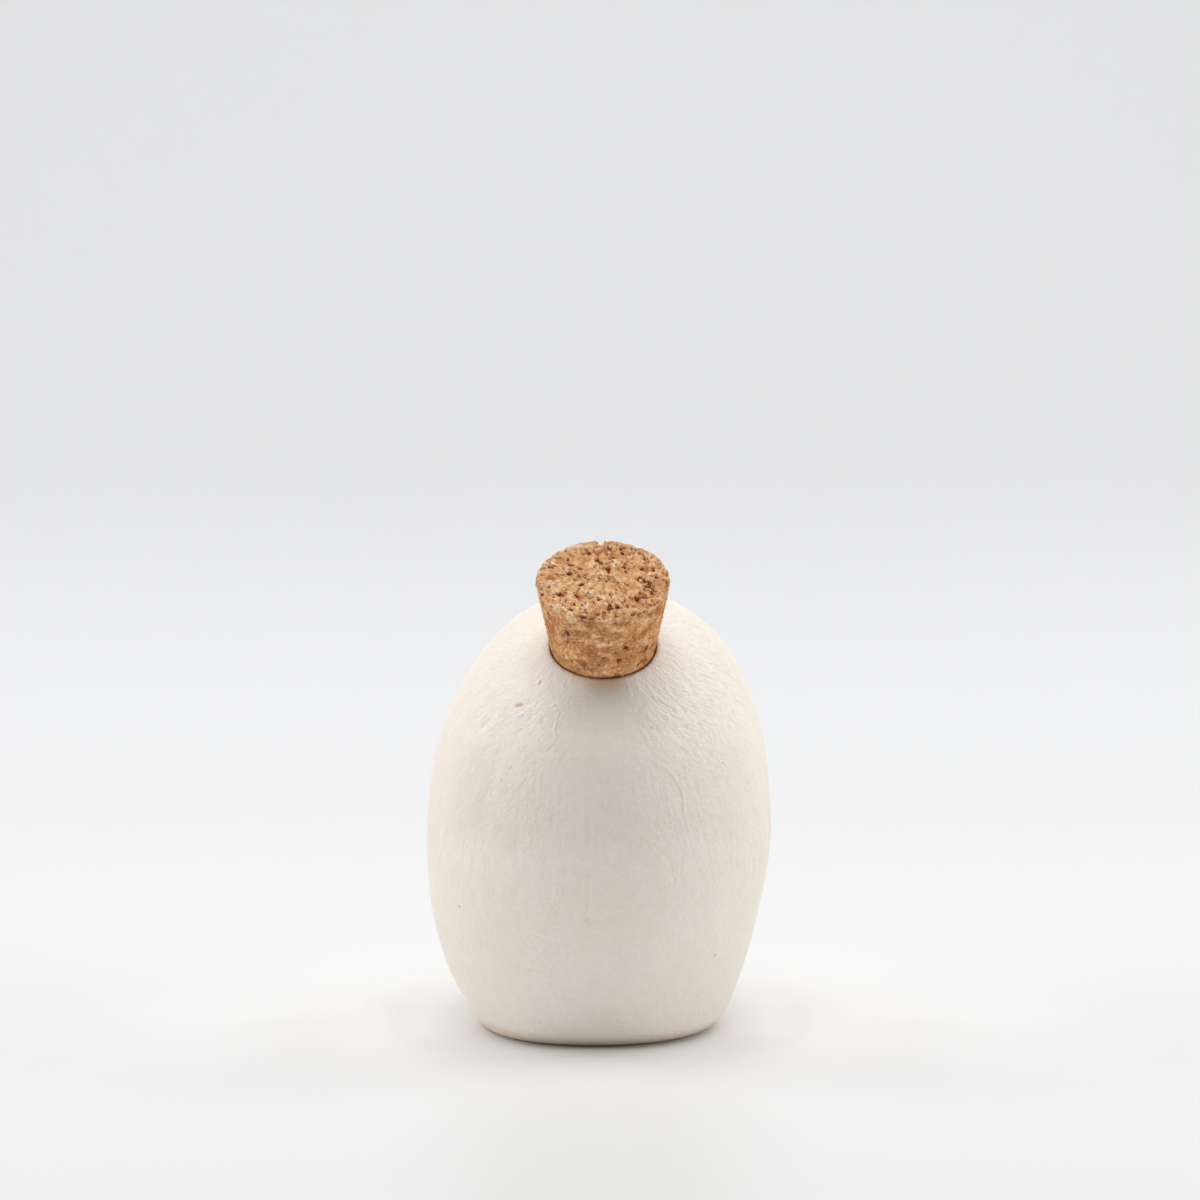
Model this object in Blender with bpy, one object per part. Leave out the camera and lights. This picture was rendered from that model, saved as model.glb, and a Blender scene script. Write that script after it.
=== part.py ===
"""A small bisque bottle in the shape of a skull, closed by a tapered cork.

The vessel is one slip-cast piece: an egg-shaped head on a flat base, hollow inside, with a low lip
round the neck at the back of the crown and a plain skull face sunk into the front. The cork is a
separate stopper that pulls out along the slanted neck.

Units are metres. +Z is up, the face looks along +Y, and the origin lies on the surface that the
bottle stands on, under the middle of the head.
"""

import math

import bpy
from mathutils import Vector

# Head: the egg that the skull is cut from
HEAD_WIDTH = 0.0493
HEAD_HEIGHT = 0.0623
BACK_REACH = 0.0290
FRONT_REACH = 0.0283
WIDEST_HEIGHT = 0.0283
CROWN_FORWARD = 0.0080
CROWN_ROUNDNESS = 2.23
CROWN_SWEEP = 1.5
SECTION_ROUNDNESS = 2.13
BASE_WIDTH = 0.0358
BASE_BACK_REACH = 0.0194
BASE_FRONT_REACH = 0.0200
FLANK_ROUNDNESS = 1.80
BASE_EDGE_RADIUS = 0.0028
WALL = 0.0030

# Sway: the head is made by hand, its crown leans to the right and its foot to the left
CROWN_SWAY = 0.0010
CROWN_SWAY_FROM = 0.0340
CROWN_SWAY_TO = 0.0600
FOOT_SWAY = 0.0007
FOOT_SWAY_FROM = 0.0310
FOOT_SWAY_TO = 0.0145

# Neck and lip: the mouth lies this far behind the crown's top and to the right, and clay swells up to it
MOUTH_BEHIND_CROWN = 0.0215
MOUTH_ASIDE = 0.0004
NECK_TILT = math.radians(31)
LIP_RISE = 0.0012
LIP_RIM = 0.0004
LIP_FLARE = 0.0098
LIP_FLARE_BEHIND = 0.0058
LIP_SINK = 0.0002

# Cork
CORK_TOP_DIAMETER = 0.0187
CORK_END_DIAMETER = 0.0124
CORK_LENGTH = 0.0185
CORK_SEAT_DEPTH = 0.0070
CORK_CHAMFER = 0.0003
CORK_CLEARANCE = 0.0003

# Face: swellings of the front skin, each a smooth bump of this rise, centre and spread
FACE_RECESS = 0.0030
FACE_HEIGHT = 0.0235
FACE_SPREAD_X = 0.0190
FACE_SPREAD_Z = 0.0085
BROW_RISE = 0.0007
BROW_HEIGHT = 0.0395
BROW_SPREAD_X = 0.0150
BROW_SPREAD_Z = 0.0040
CHEEK_RISE = 0.0022
CHEEK_HEIGHT = 0.0220
CHEEK_APART = 0.0300
CHEEK_SPREAD_X = 0.0048
CHEEK_SPREAD_Z = 0.0036
BRIDGE_RISE = 0.0012
BRIDGE_HEIGHT = 0.0300
BRIDGE_SPREAD_X = 0.0032
BRIDGE_SPREAD_Z = 0.0060
JAW_RISE = 0.0016
JAW_HEIGHT = 0.0100
JAW_SPREAD_X = 0.0115
JAW_SPREAD_Z = 0.0055

# Face: shallow hollows at the temples and under the cheeks, and the arch from each cheek to the ear
TEMPLE_DEPTH = 0.0010
TEMPLE_FORWARD = 0.0155
TEMPLE_HEIGHT = 0.0375
TEMPLE_SPREAD_Y = 0.0060
TEMPLE_SPREAD_Z = 0.0065
JOWL_DEPTH = 0.0012
JOWL_APART = 0.0340
JOWL_HEIGHT = 0.0135
JOWL_SPREAD_X = 0.0042
JOWL_SPREAD_Z = 0.0040
JOWL_FROM_Y = 0.0080
JOWL_TO_Y = 0.0160
ARCH_RISE = 0.0008
ARCH_HEIGHT = 0.0232
ARCH_CLIMB = 0.10
ARCH_FRONT_Y = 0.0200
ARCH_SPREAD_Z = 0.0021
ARCH_FROM_Y = 0.0010
ARCH_TO_Y = 0.0080
FLANK_START = 0.0120
FLANK_END = 0.0175

# Face: deep hollows
SOCKET_WIDTH = 0.0128
SOCKET_TALL = 0.0118
SOCKET_DEPTH = 0.0050
SOCKET_HEIGHT = 0.0310
SOCKET_APART = 0.0196
SOCKET_DROOP = math.radians(12)
NOSE_WIDTH = 0.0068
NOSE_TALL = 0.0086
NOSE_DEPTH = 0.0028
NOSE_HEIGHT = 0.0202
NOSE_TAPER = 0.45

# Teeth: one bite line crossed by upright gaps, all V-shaped grooves
TOOTH_COUNT = 8
TOOTH_WIDTH = 0.0026
TEETH_FOOT = 0.0048
TEETH_TOP = 0.0132
BITE_HEIGHT = 0.0088
BITE_WIDTH = 0.0012
BITE_DEPTH = 0.0006
TOOTH_GAP_WIDTH = 0.0008
TOOTH_GAP_DEPTH = 0.0005

# Fineness of the meshes
SKIN_SEGMENTS = 60
FLANK_RINGS = 15
CROWN_RINGS = 14
EDGE_STEPS = 4
CHAMBER_SEGMENTS = 34
CHAMBER_FLANK_RINGS = 7
CHAMBER_CROWN_RINGS = 8
ROUND_SEGMENTS = 48
FLARE_STEPS = 7
HOLLOW_SEGMENTS = 20
HOLLOW_RINGS = 12
GROOVE_POINTS = 9

# Colours, roughness
BISQUE = (0.72, 0.66, 0.60)
BISQUE_ROUGHNESS = 0.85
CORK = (0.47, 0.27, 0.13)
CORK_ROUGHNESS = 0.90
SHARP_ANGLE = math.radians(40)

# Halvings of a search for where a line meets the head's skin
HALVINGS = 40


def clear_scene():
    for old in list(bpy.data.objects):
        bpy.data.objects.remove(old, do_unlink=True)


def material(name, colour, roughness):
    made = bpy.data.materials.new(name)
    made.use_nodes = True
    shader = made.node_tree.nodes["Principled BSDF"]
    shader.inputs["Base Color"].default_value = (*colour, 1)
    shader.inputs["Roughness"].default_value = roughness
    shader.inputs["Metallic"].default_value = 0
    return made


def add_object(name, data, finish=None, parent=None):
    made = bpy.data.objects.new(name, data)
    bpy.context.scene.collection.objects.link(made)
    made.parent = parent
    if finish:
        data.materials.append(finish)
        data.shade_smooth()
        data.set_sharp_from_angle(angle=SHARP_ANGLE)
    return made


def add_helper(name, data, parent=None):
    """A shape that only cuts or joins: it stays out of the finished part."""
    made = add_object(name, data, parent=parent)
    made.hide_render = True
    made.display_type = "WIRE"
    return made


def combine(target, other, operation):
    step = target.modifiers.new(f"{operation.lower()} {other.name}", "BOOLEAN")
    step.operation = operation
    step.object = other
    step.solver = "EXACT"


def mesh_from(name, points, faces):
    mesh = bpy.data.meshes.new(name)
    mesh.from_pydata(points, [], faces)
    mesh.validate()
    return mesh


# Shape of the head
def bump(value, centre, spread):
    return math.exp(-(((value - centre) / spread) ** 2))


def smooth_step(value, start, end):
    share = min(1.0, max(0.0, (value - start) / (end - start)))
    return share * share * (3 - 2 * share)


def sway(z):
    """How far the middle of the level cut at this height lies to the right."""
    crown = CROWN_SWAY * smooth_step(z, CROWN_SWAY_FROM, CROWN_SWAY_TO)
    return crown - FOOT_SWAY * smooth_step(z, FOOT_SWAY_FROM, FOOT_SWAY_TO)


def relief(x, z):
    """How far the face stands out of the plain egg at this place on the front."""
    side = abs(x)
    recess = FACE_RECESS * bump(x, 0, FACE_SPREAD_X) * bump(z, FACE_HEIGHT, FACE_SPREAD_Z)
    brow = BROW_RISE * bump(x, 0, BROW_SPREAD_X) * bump(z, BROW_HEIGHT, BROW_SPREAD_Z)
    cheek = CHEEK_RISE * bump(side, CHEEK_APART / 2, CHEEK_SPREAD_X) * bump(z, CHEEK_HEIGHT, CHEEK_SPREAD_Z)
    bridge = BRIDGE_RISE * bump(x, 0, BRIDGE_SPREAD_X) * bump(z, BRIDGE_HEIGHT, BRIDGE_SPREAD_Z)
    jaw = JAW_RISE * bump(x, 0, JAW_SPREAD_X) * bump(z, JAW_HEIGHT, JAW_SPREAD_Z)
    return brow + cheek + bridge + jaw - recess


def sunk(x, y, z):
    """How far the flank of the face is sunk at this place: below nothing, it stands out."""
    side = abs(x)
    flank = smooth_step(side, FLANK_START, FLANK_END)
    temple = TEMPLE_DEPTH * bump(y, TEMPLE_FORWARD, TEMPLE_SPREAD_Y) * bump(z, TEMPLE_HEIGHT, TEMPLE_SPREAD_Z)
    jowl = JOWL_DEPTH * bump(side, JOWL_APART / 2, JOWL_SPREAD_X) * bump(z, JOWL_HEIGHT, JOWL_SPREAD_Z)
    arch_height = ARCH_HEIGHT + ARCH_CLIMB * (ARCH_FRONT_Y - y)
    arch = ARCH_RISE * bump(z, arch_height, ARCH_SPREAD_Z) * smooth_step(y, ARCH_FROM_Y, ARCH_TO_Y)
    return (temple - arch) * flank + jowl * smooth_step(y, JOWL_FROM_Y, JOWL_TO_Y)


def section(z, inset):
    """The egg's level cut at a height: half width, reach behind, reach in front and middle."""
    if z >= WIDEST_HEIGHT:
        rise = min(1.0, (z - WIDEST_HEIGHT) / (HEAD_HEIGHT - inset - WIDEST_HEIGHT))
        share = (1 - rise**CROWN_ROUNDNESS) ** (1 / CROWN_ROUNDNESS)
        half_width = (HEAD_WIDTH / 2 - inset) * share
        behind = (BACK_REACH - inset) * share
        front = (FRONT_REACH - inset) * share
        return half_width, behind, front, CROWN_FORWARD * rise**CROWN_SWEEP
    fall = ((WIDEST_HEIGHT - z) / WIDEST_HEIGHT) ** FLANK_ROUNDNESS
    half_width = HEAD_WIDTH / 2 + (BASE_WIDTH / 2 - HEAD_WIDTH / 2) * fall - inset
    behind = BACK_REACH + (BASE_BACK_REACH - BACK_REACH) * fall - inset
    front = FRONT_REACH + (BASE_FRONT_REACH - FRONT_REACH) * fall - inset
    below_edge = BASE_EDGE_RADIUS - (z - inset)
    if below_edge > 0:
        drawn_in = BASE_EDGE_RADIUS - math.sqrt(BASE_EDGE_RADIUS**2 - below_edge**2)
        half_width, behind, front = half_width - drawn_in, behind - drawn_in, front - drawn_in
    return half_width, behind, front, 0.0


def front_point(x, z):
    """The point on the face's skin straight in front of this x and z."""
    half_width, _, front, middle = section(z, 0)
    share = (1 - min(1.0, abs(x) / half_width) ** SECTION_ROUNDNESS) ** (1 / SECTION_ROUNDNESS)
    return Vector((sway(z) + x, middle + front * share + relief(x, z) * share, z))


def ring(z, inset, segments):
    half_width, behind, front, middle = section(z, inset)
    points = []
    for step in range(segments):
        angle = math.tau * step / segments
        across = math.copysign(abs(math.cos(angle)) ** (2 / SECTION_ROUNDNESS), math.cos(angle))
        along = math.copysign(abs(math.sin(angle)) ** (2 / SECTION_ROUNDNESS), math.sin(angle))
        x = half_width * across
        y = middle + (front + relief(x, z) if along > 0 else behind) * along
        kept = 1 - sunk(x, y, z) / math.hypot(x, y - middle)
        points.append((sway(z) + x * kept, middle + (y - middle) * kept, z))
    return points


def skin_heights(inset, flank_rings, crown_rings):
    """The heights of the rings, from the base to just under the crown's top."""
    heights = []
    for step in range(EDGE_STEPS):
        heights.append(inset + BASE_EDGE_RADIUS * (1 - math.cos(math.pi / 2 * step / EDGE_STEPS)))
    edge_top = inset + BASE_EDGE_RADIUS
    for step in range(flank_rings):
        heights.append(edge_top + (WIDEST_HEIGHT - edge_top) * step / flank_rings)
    for step in range(crown_rings):
        rise = math.sin(math.pi / 2 * step / crown_rings) ** (2 / CROWN_ROUNDNESS)
        heights.append(WIDEST_HEIGHT + (HEAD_HEIGHT - inset - WIDEST_HEIGHT) * rise)
    return heights


def skin(name, inset, segments, flank_rings, crown_rings):
    """A closed egg whose surface lies this far inside the head's outer skin."""
    heights = skin_heights(inset, flank_rings, crown_rings)
    points = []
    for z in heights:
        points.extend(ring(z, inset, segments))
    top = len(points)
    points.append((sway(HEAD_HEIGHT), CROWN_FORWARD, HEAD_HEIGHT - inset))
    faces = [list(reversed(range(segments)))]
    for level in range(len(heights) - 1):
        for step in range(segments):
            low = level * segments
            after = (step + 1) % segments
            faces.append([low + step, low + after, low + segments + after, low + segments + step])
    last = (len(heights) - 1) * segments
    for step in range(segments):
        faces.append([last + step, last + (step + 1) % segments, top])
    return mesh_from(name, points, faces)


def turned(name, profile, segments):
    """A closed solid turned about Z from a profile that runs from its top's middle to its bottom's middle."""
    points = [(0, 0, profile[0][1]), (0, 0, profile[-1][1])]
    rims = profile[1:-1]
    for radius, z in rims:
        for step in range(segments):
            angle = math.tau * step / segments
            points.append((radius * math.cos(angle), radius * math.sin(angle), z))
    faces = []
    for step in range(segments):
        after = (step + 1) % segments
        faces.append([0, 2 + step, 2 + after])
        for level in range(len(rims) - 1):
            high = 2 + level * segments
            low = high + segments
            faces.append([high + step, low + step, low + after, high + after])
        low = 2 + (len(rims) - 1) * segments
        faces.append([1, low + after, low + step])
    return mesh_from(name, points, faces)


def hollow_form(name, width, depth, tall, taper, grow=0.0):
    """A ball stretched to these full sizes, its poles along Y, narrowed by taper and swollen by grow."""
    points = [(0, -depth / 2 - grow, 0), (0, depth / 2 + grow, 0)]
    for level in range(1, HOLLOW_RINGS):
        polar = math.pi * level / HOLLOW_RINGS
        for step in range(HOLLOW_SEGMENTS):
            angle = math.tau * (step + 0.5) / HOLLOW_SEGMENTS
            up = math.sin(polar) * math.sin(angle)
            points.append((
                (width / 2 + grow) * math.sin(polar) * math.cos(angle) * (1 - taper * up),
                -(depth / 2 + grow) * math.cos(polar),
                (tall / 2 + grow) * up,
            ))
    faces = []
    for step in range(HOLLOW_SEGMENTS):
        after = (step + 1) % HOLLOW_SEGMENTS
        faces.append([0, 2 + step, 2 + after])
        for level in range(HOLLOW_RINGS - 2):
            near = 2 + level * HOLLOW_SEGMENTS
            far = near + HOLLOW_SEGMENTS
            faces.append([near + step, far + step, far + after, near + after])
        near = 2 + (HOLLOW_RINGS - 2) * HOLLOW_SEGMENTS
        faces.append([1, near + after, near + step])
    return mesh_from(name, points, faces)


def groove(name, path, width, depth):
    """A V-shaped cutter along a path on the face, this wide and deep where it meets the skin."""
    points = []
    for here, place in enumerate(path):
        along = path[min(here + 1, len(path) - 1)] - path[max(here - 1, 0)]
        outward = Vector((place.x, place.y, 0)).normalized()
        across = outward.cross(along).normalized()
        points.append(place - outward * depth)
        points.append(place + outward * depth + across * width)
        points.append(place + outward * depth - across * width)
    faces = [[2, 1, 0], [len(points) - 3, len(points) - 2, len(points) - 1]]
    for here in range(0, len(points) - 3, 3):
        for corner in range(3):
            after = (corner + 1) % 3
            faces.append([here + corner, here + after, here + after + 3, here + corner + 3])
    return mesh_from(name, points, faces)


# Sub-parts
def neck_axis(tilt):
    """An empty at the middle of the mouth, its Z along the neck: the cork slides on it."""
    mouth_y = CROWN_FORWARD - MOUTH_BEHIND_CROWN
    low, high = WIDEST_HEIGHT, HEAD_HEIGHT
    for _ in range(HALVINGS):
        z = (low + high) / 2
        _, behind, _, middle = section(z, 0)
        low, high = (z, high) if middle - behind < mouth_y else (low, z)
    along = Vector((0, -math.sin(tilt), math.cos(tilt)))
    axis = add_object("neck_axis", None)
    axis.location = Vector((MOUTH_ASIDE, mouth_y, low)) + along * LIP_RISE
    axis.rotation_euler = (tilt, 0, 0)
    bpy.context.view_layer.update()
    return axis


def cork_radius(height):
    """The cork's radius at a height above the mouth, along the neck."""
    slope = (CORK_TOP_DIAMETER - CORK_END_DIAMETER) / 2 / CORK_LENGTH
    return CORK_END_DIAMETER / 2 + slope * (height + CORK_SEAT_DEPTH)


def bore_radius(height):
    slope = (CORK_TOP_DIAMETER - CORK_END_DIAMETER) / 2 / CORK_LENGTH
    return cork_radius(height) + CORK_CLEARANCE * math.hypot(1, slope)


def inside_egg(place):
    if not 0 < place.z < HEAD_HEIGHT:
        return False
    half_width, behind, _, middle = section(place.z, 0)
    across = abs((place.x - sway(place.z)) / half_width) ** SECTION_ROUNDNESS
    along = abs((place.y - middle) / behind) ** SECTION_ROUNDNESS
    return across + along < 1


def crown_depth(axis, x, y):
    """How far the egg's skin lies from the mouth's plane at a place across the neck: below is negative."""
    low, high = -HEAD_HEIGHT / 3, LIP_RISE
    for _ in range(HALVINGS):
        depth = (low + high) / 2
        low, high = (depth, high) if inside_egg(axis.matrix_world @ Vector((x, y, depth))) else (low, depth)
    return low


def lip(axis):
    """The swelling of clay round the mouth: long and soft in front and aside, short and steep behind."""
    rim = bore_radius(0) + LIP_RIM
    levels = FLARE_STEPS + 2
    points = []
    for step in range(ROUND_SEGMENTS):
        angle = math.tau * step / ROUND_SEGMENTS
        across, along = math.cos(angle), math.sin(angle)
        behind = min(0, along) ** 2
        flare = LIP_FLARE + (LIP_FLARE_BEHIND - LIP_FLARE) * behind
        for level in range(FLARE_STEPS + 1):
            share = level / FLARE_STEPS
            radius = rim + flare * share
            depth = crown_depth(axis, radius * across, radius * along)
            fade = (1 - share) ** 2 * (1 + 2 * (1 - behind) * share)
            swelling = -crown_depth(axis, rim * across, rim * along) * fade
            points.append((radius * across, radius * along, depth + swelling - LIP_SINK * share))
        points.append((radius * across, radius * along, depth - WALL))
    faces = [[step * levels for step in range(ROUND_SEGMENTS)]]
    for step in range(ROUND_SEGMENTS):
        here, after = step * levels, (step + 1) % ROUND_SEGMENTS * levels
        for level in range(levels - 1):
            faces.append([here + level, here + level + 1, after + level + 1, after + level])
    foot = len(points)
    points.append((0, 0, -LIP_RISE - 2 * WALL))
    for step in range(ROUND_SEGMENTS):
        after = (step + 1) % ROUND_SEGMENTS
        faces.append([foot, after * levels + levels - 1, step * levels + levels - 1])
    return add_helper("lip", mesh_from("lip", points, faces), axis)


def bore(axis):
    above = LIP_RISE
    below = -(LIP_RISE + 2 * WALL + bore_radius(0) / 2)
    profile = [(0, above), (bore_radius(above), above), (bore_radius(below), below), (0, below)]
    return add_helper("bore", turned("bore", profile, ROUND_SEGMENTS), axis)


def face_hollows():
    """Each sunk feature as its cutter's sizes and its x, height and turn."""
    for side, hand in ((-1, "left"), (1, "right")):
        sizes = (SOCKET_WIDTH, 2 * SOCKET_DEPTH, SOCKET_TALL, 0)
        yield f"{hand}_socket", sizes, (side * SOCKET_APART / 2, SOCKET_HEIGHT, side * SOCKET_DROOP)
    yield "nasal_opening", (NOSE_WIDTH, 2 * NOSE_DEPTH, NOSE_TALL, NOSE_TAPER), (0, NOSE_HEIGHT, 0)


def add_hollow(name, sizes, place, grow=0.0):
    x, z, turn = place
    hollow = add_helper(name, hollow_form(name, *sizes, grow=grow))
    hollow.location = front_point(x, z)
    hollow.rotation_euler = (0, turn, math.atan2(-x, BACK_REACH))
    return hollow


def teeth_grooves():
    """The path, width and depth of the bite line and of each gap between teeth."""
    half = TOOTH_COUNT * TOOTH_WIDTH / 2
    spread = [2 * step / (GROOVE_POINTS - 1) - 1 for step in range(GROOVE_POINTS)]
    yield "bite_line", [front_point(half * share, BITE_HEIGHT) for share in spread], BITE_WIDTH, BITE_DEPTH
    for number in range(1, TOOTH_COUNT):
        x = number * TOOTH_WIDTH - half
        middle = (TEETH_FOOT + TEETH_TOP) / 2
        reach = (TEETH_TOP - TEETH_FOOT) / 2
        path = [front_point(x, middle + reach * share) for share in spread]
        yield f"tooth_gap_{number}", path, TOOTH_GAP_WIDTH, TOOTH_GAP_DEPTH


def skull_body(axis, finish):
    body_mesh = skin("skull_body", 0, SKIN_SEGMENTS, FLANK_RINGS, CROWN_RINGS)
    body = add_object("skull_body", body_mesh, finish)
    combine(body, lip(axis), "UNION")
    chamber_mesh = skin("chamber", WALL, CHAMBER_SEGMENTS, CHAMBER_FLANK_RINGS, CHAMBER_CROWN_RINGS)
    chamber = add_helper("chamber", chamber_mesh)
    for name, sizes, place in face_hollows():
        combine(chamber, add_hollow(f"{name}_backing", sizes, place, grow=WALL), "DIFFERENCE")
    combine(body, chamber, "DIFFERENCE")
    combine(body, bore(axis), "DIFFERENCE")
    for name, sizes, place in face_hollows():
        combine(body, add_hollow(name, sizes, place), "DIFFERENCE")
    for name, path, width, depth in teeth_grooves():
        combine(body, add_helper(name, groove(name, path, width, depth)), "DIFFERENCE")
    return body


def cork_stopper(axis, finish):
    top = CORK_LENGTH - CORK_SEAT_DEPTH
    end = -CORK_SEAT_DEPTH
    profile = [
        (0, top),
        (cork_radius(top) - CORK_CHAMFER, top),
        (cork_radius(top - CORK_CHAMFER), top - CORK_CHAMFER),
        (cork_radius(end + CORK_CHAMFER), end + CORK_CHAMFER),
        (cork_radius(end) - CORK_CHAMFER, end),
        (0, end),
    ]
    return add_object("cork_stopper", turned("cork_stopper", profile, ROUND_SEGMENTS), finish, axis)


def main():
    clear_scene()
    axis = neck_axis(NECK_TILT)
    skull_body(axis, material("bisque", BISQUE, BISQUE_ROUGHNESS))
    cork_stopper(axis, material("cork", CORK, CORK_ROUGHNESS))


main()
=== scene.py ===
# %% [markdown]
# # A skull bottle in bisque, closed by a cork
#
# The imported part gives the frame: a hollow ceramic skull and a tapered cork, each on its own body, so
# that the cork can slide out along the neck. This notebook dresses that frame. Each step says what the
# thing is on the real bottle, how it could be made in Blender, and why it is made the way it is.
#
# Everything is in metres. +Z is up, the face looks along +Y, and the camera looks at the back.

# %% Load the frame
import math

import bmesh
import bpy
import numpy as np
from mathutils import Matrix, Vector


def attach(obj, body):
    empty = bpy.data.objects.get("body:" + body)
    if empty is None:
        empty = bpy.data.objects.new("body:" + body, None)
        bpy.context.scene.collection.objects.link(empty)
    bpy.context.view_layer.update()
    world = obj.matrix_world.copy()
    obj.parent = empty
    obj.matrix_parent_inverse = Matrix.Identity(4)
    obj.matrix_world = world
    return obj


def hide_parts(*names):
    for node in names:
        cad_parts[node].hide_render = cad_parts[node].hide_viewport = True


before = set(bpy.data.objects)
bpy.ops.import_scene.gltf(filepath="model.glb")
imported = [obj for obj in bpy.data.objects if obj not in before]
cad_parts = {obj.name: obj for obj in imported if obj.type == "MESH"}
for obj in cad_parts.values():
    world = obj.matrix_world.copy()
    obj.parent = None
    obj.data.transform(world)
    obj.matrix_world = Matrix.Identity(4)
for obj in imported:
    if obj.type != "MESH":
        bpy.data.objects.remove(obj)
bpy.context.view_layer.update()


def put_in_scene(name, data):
    """An object of this data, at the origin."""
    thing = bpy.data.objects.new(name, data)
    bpy.context.scene.collection.objects.link(thing)
    return thing


def keep_on_points(mesh, name, values):
    """Keeps a vector on every point of a mesh."""
    store = mesh.attributes.new(name, "FLOAT_VECTOR", "POINT")
    store.data.foreach_set("vector", values.astype(np.float32).ravel())


def triangle_count(mesh):
    return sum(len(face.vertices) - 2 for face in mesh.polygons)


# %% [markdown]
# ## The camera
#
# The bottle was photographed from behind, a little from above, with a long lens: its sides hardly
# converge. The camera comes first, because the marks on the clay are placed by where the camera sees
# them. A pixel of the square photograph becomes a ray, and the ray meets the clay.

# %% Place the camera
PHOTO_SIDE = 1200
FOCAL_PIXELS, SENSOR_MM = 4831, 36
CAMERA_DISTANCE = 0.700
VIEW_ELEVATION = math.radians(11)
CAMERA_PITCH = math.radians(6)
MIDDLE_PIXEL = 603

MOUTH_ASIDE = 0.0004
camera_place = np.array([
    MOUTH_ASIDE - (MIDDLE_PIXEL - PHOTO_SIDE / 2) * CAMERA_DISTANCE / FOCAL_PIXELS,
    -CAMERA_DISTANCE * math.cos(VIEW_ELEVATION),
    CAMERA_DISTANCE * math.sin(VIEW_ELEVATION),
])
camera_data = bpy.data.cameras.new("camera")
camera_data.sensor_width = SENSOR_MM
camera_data.lens = FOCAL_PIXELS / PHOTO_SIDE * SENSOR_MM
camera = put_in_scene("camera", camera_data)
camera.location = camera_place
camera.rotation_euler = (math.pi / 2 - CAMERA_PITCH, 0, 0)
bpy.context.scene.camera = camera
print("camera at", camera_place.round(4), "lens", round(camera_data.lens, 1), "mm")

# %% Turn a pixel into a ray
ASIDE = np.array([1, 0, 0])
FORWARD = np.array([0, math.cos(CAMERA_PITCH), -math.sin(CAMERA_PITCH)])
UPWARD = np.array([0, math.sin(CAMERA_PITCH), math.cos(CAMERA_PITCH)])


def ray_through(column, row):
    """The unit direction from the camera through this pixel of the photograph."""
    half = PHOTO_SIDE / 2
    way = FORWARD + (ASIDE * (column - half) + UPWARD * (half - row)) / FOCAL_PIXELS
    return way / np.linalg.norm(way)


# %% [markdown]
# ## The head's shape
#
# The vessel is an egg cut off flat at the bottom. Every level cut through it is a rounded oval whose
# width and reach change with height, so one small set of sizes gives the whole skin. Sculpting by hand
# would hide that rule. Written as functions on whole arrays of points, it can be asked anywhere: is
# this point inside the clay, and how far off is the skin?

# %% Sizes of the head, as in the part
HEAD_WIDTH, HEAD_HEIGHT = 0.0493, 0.0623
BACK_REACH, FRONT_REACH, WIDEST_HEIGHT = 0.0290, 0.0283, 0.0283
CROWN_FORWARD, CROWN_ROUNDNESS, CROWN_SWEEP = 0.0080, 2.23, 1.5
SECTION_ROUNDNESS = 2.13
BASE_WIDTH, BASE_BACK_REACH, BASE_FRONT_REACH = 0.0358, 0.0194, 0.0200
FLANK_ROUNDNESS, BASE_EDGE_RADIUS, WALL = 1.80, 0.0028, 0.0030
CROWN_SWAY, FOOT_SWAY = 0.0010, 0.0007


def bump(value, centre, spread):
    return np.exp(-(((value - centre) / spread) ** 2))


def smooth_step(value, start, end):
    share = np.clip((value - start) / (end - start), 0, 1)
    return share * share * (3 - 2 * share)


def sway(z):
    """The head is made by hand: its crown leans a little to the right, its foot to the left."""
    return CROWN_SWAY * smooth_step(z, 0.0340, 0.0600) - FOOT_SWAY * smooth_step(z, 0.0310, 0.0145)


# Each form of the face: how far it stands out, its middle and spread aside, its middle and spread in height
FACE_FORMS = {
    "brow": (0.0007, 0.0, 0.0150, 0.0395, 0.0040),
    "cheekbones": (0.0022, 0.0150, 0.0048, 0.0220, 0.0036),
    "bridge": (0.0012, 0.0, 0.0032, 0.0300, 0.0060),
    "jaw": (0.0016, 0.0, 0.0115, 0.0100, 0.0055),
    "recess across the middle": (-0.0030, 0.0, 0.0190, 0.0235, 0.0085),
}


def relief(x, z):
    """How far the forms of the face stand out, or lie back, at places across it."""
    total = 0
    for out, aside, wide, height, tall in FACE_FORMS.values():
        total = total + out * bump(np.abs(x), aside, wide) * bump(z, height, tall)
    return total


def section(z, inset):
    """Half width, reach behind, reach in front and middle of the level cuts at these heights."""
    rise = np.clip((z - WIDEST_HEIGHT) / (HEAD_HEIGHT - inset - WIDEST_HEIGHT), 0, 1)
    share = (1 - rise**CROWN_ROUNDNESS) ** (1 / CROWN_ROUNDNESS)
    fall = np.clip((WIDEST_HEIGHT - z) / WIDEST_HEIGHT, 0, 1) ** FLANK_ROUNDNESS
    below_edge = np.clip(BASE_EDGE_RADIUS - (z - inset), 0, BASE_EDGE_RADIUS)
    drawn_in = BASE_EDGE_RADIUS - np.sqrt(BASE_EDGE_RADIUS**2 - below_edge**2)
    sizes = []
    for full, at_base in (
        (HEAD_WIDTH / 2, BASE_WIDTH / 2), (BACK_REACH, BASE_BACK_REACH), (FRONT_REACH, BASE_FRONT_REACH),
    ):
        low = full + (at_base - full) * fall - inset - drawn_in
        sizes.append(np.where(z >= WIDEST_HEIGHT, (full - inset) * share, low) + 1e-7)
    return (*sizes, CROWN_FORWARD * rise**CROWN_SWEEP)


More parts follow.
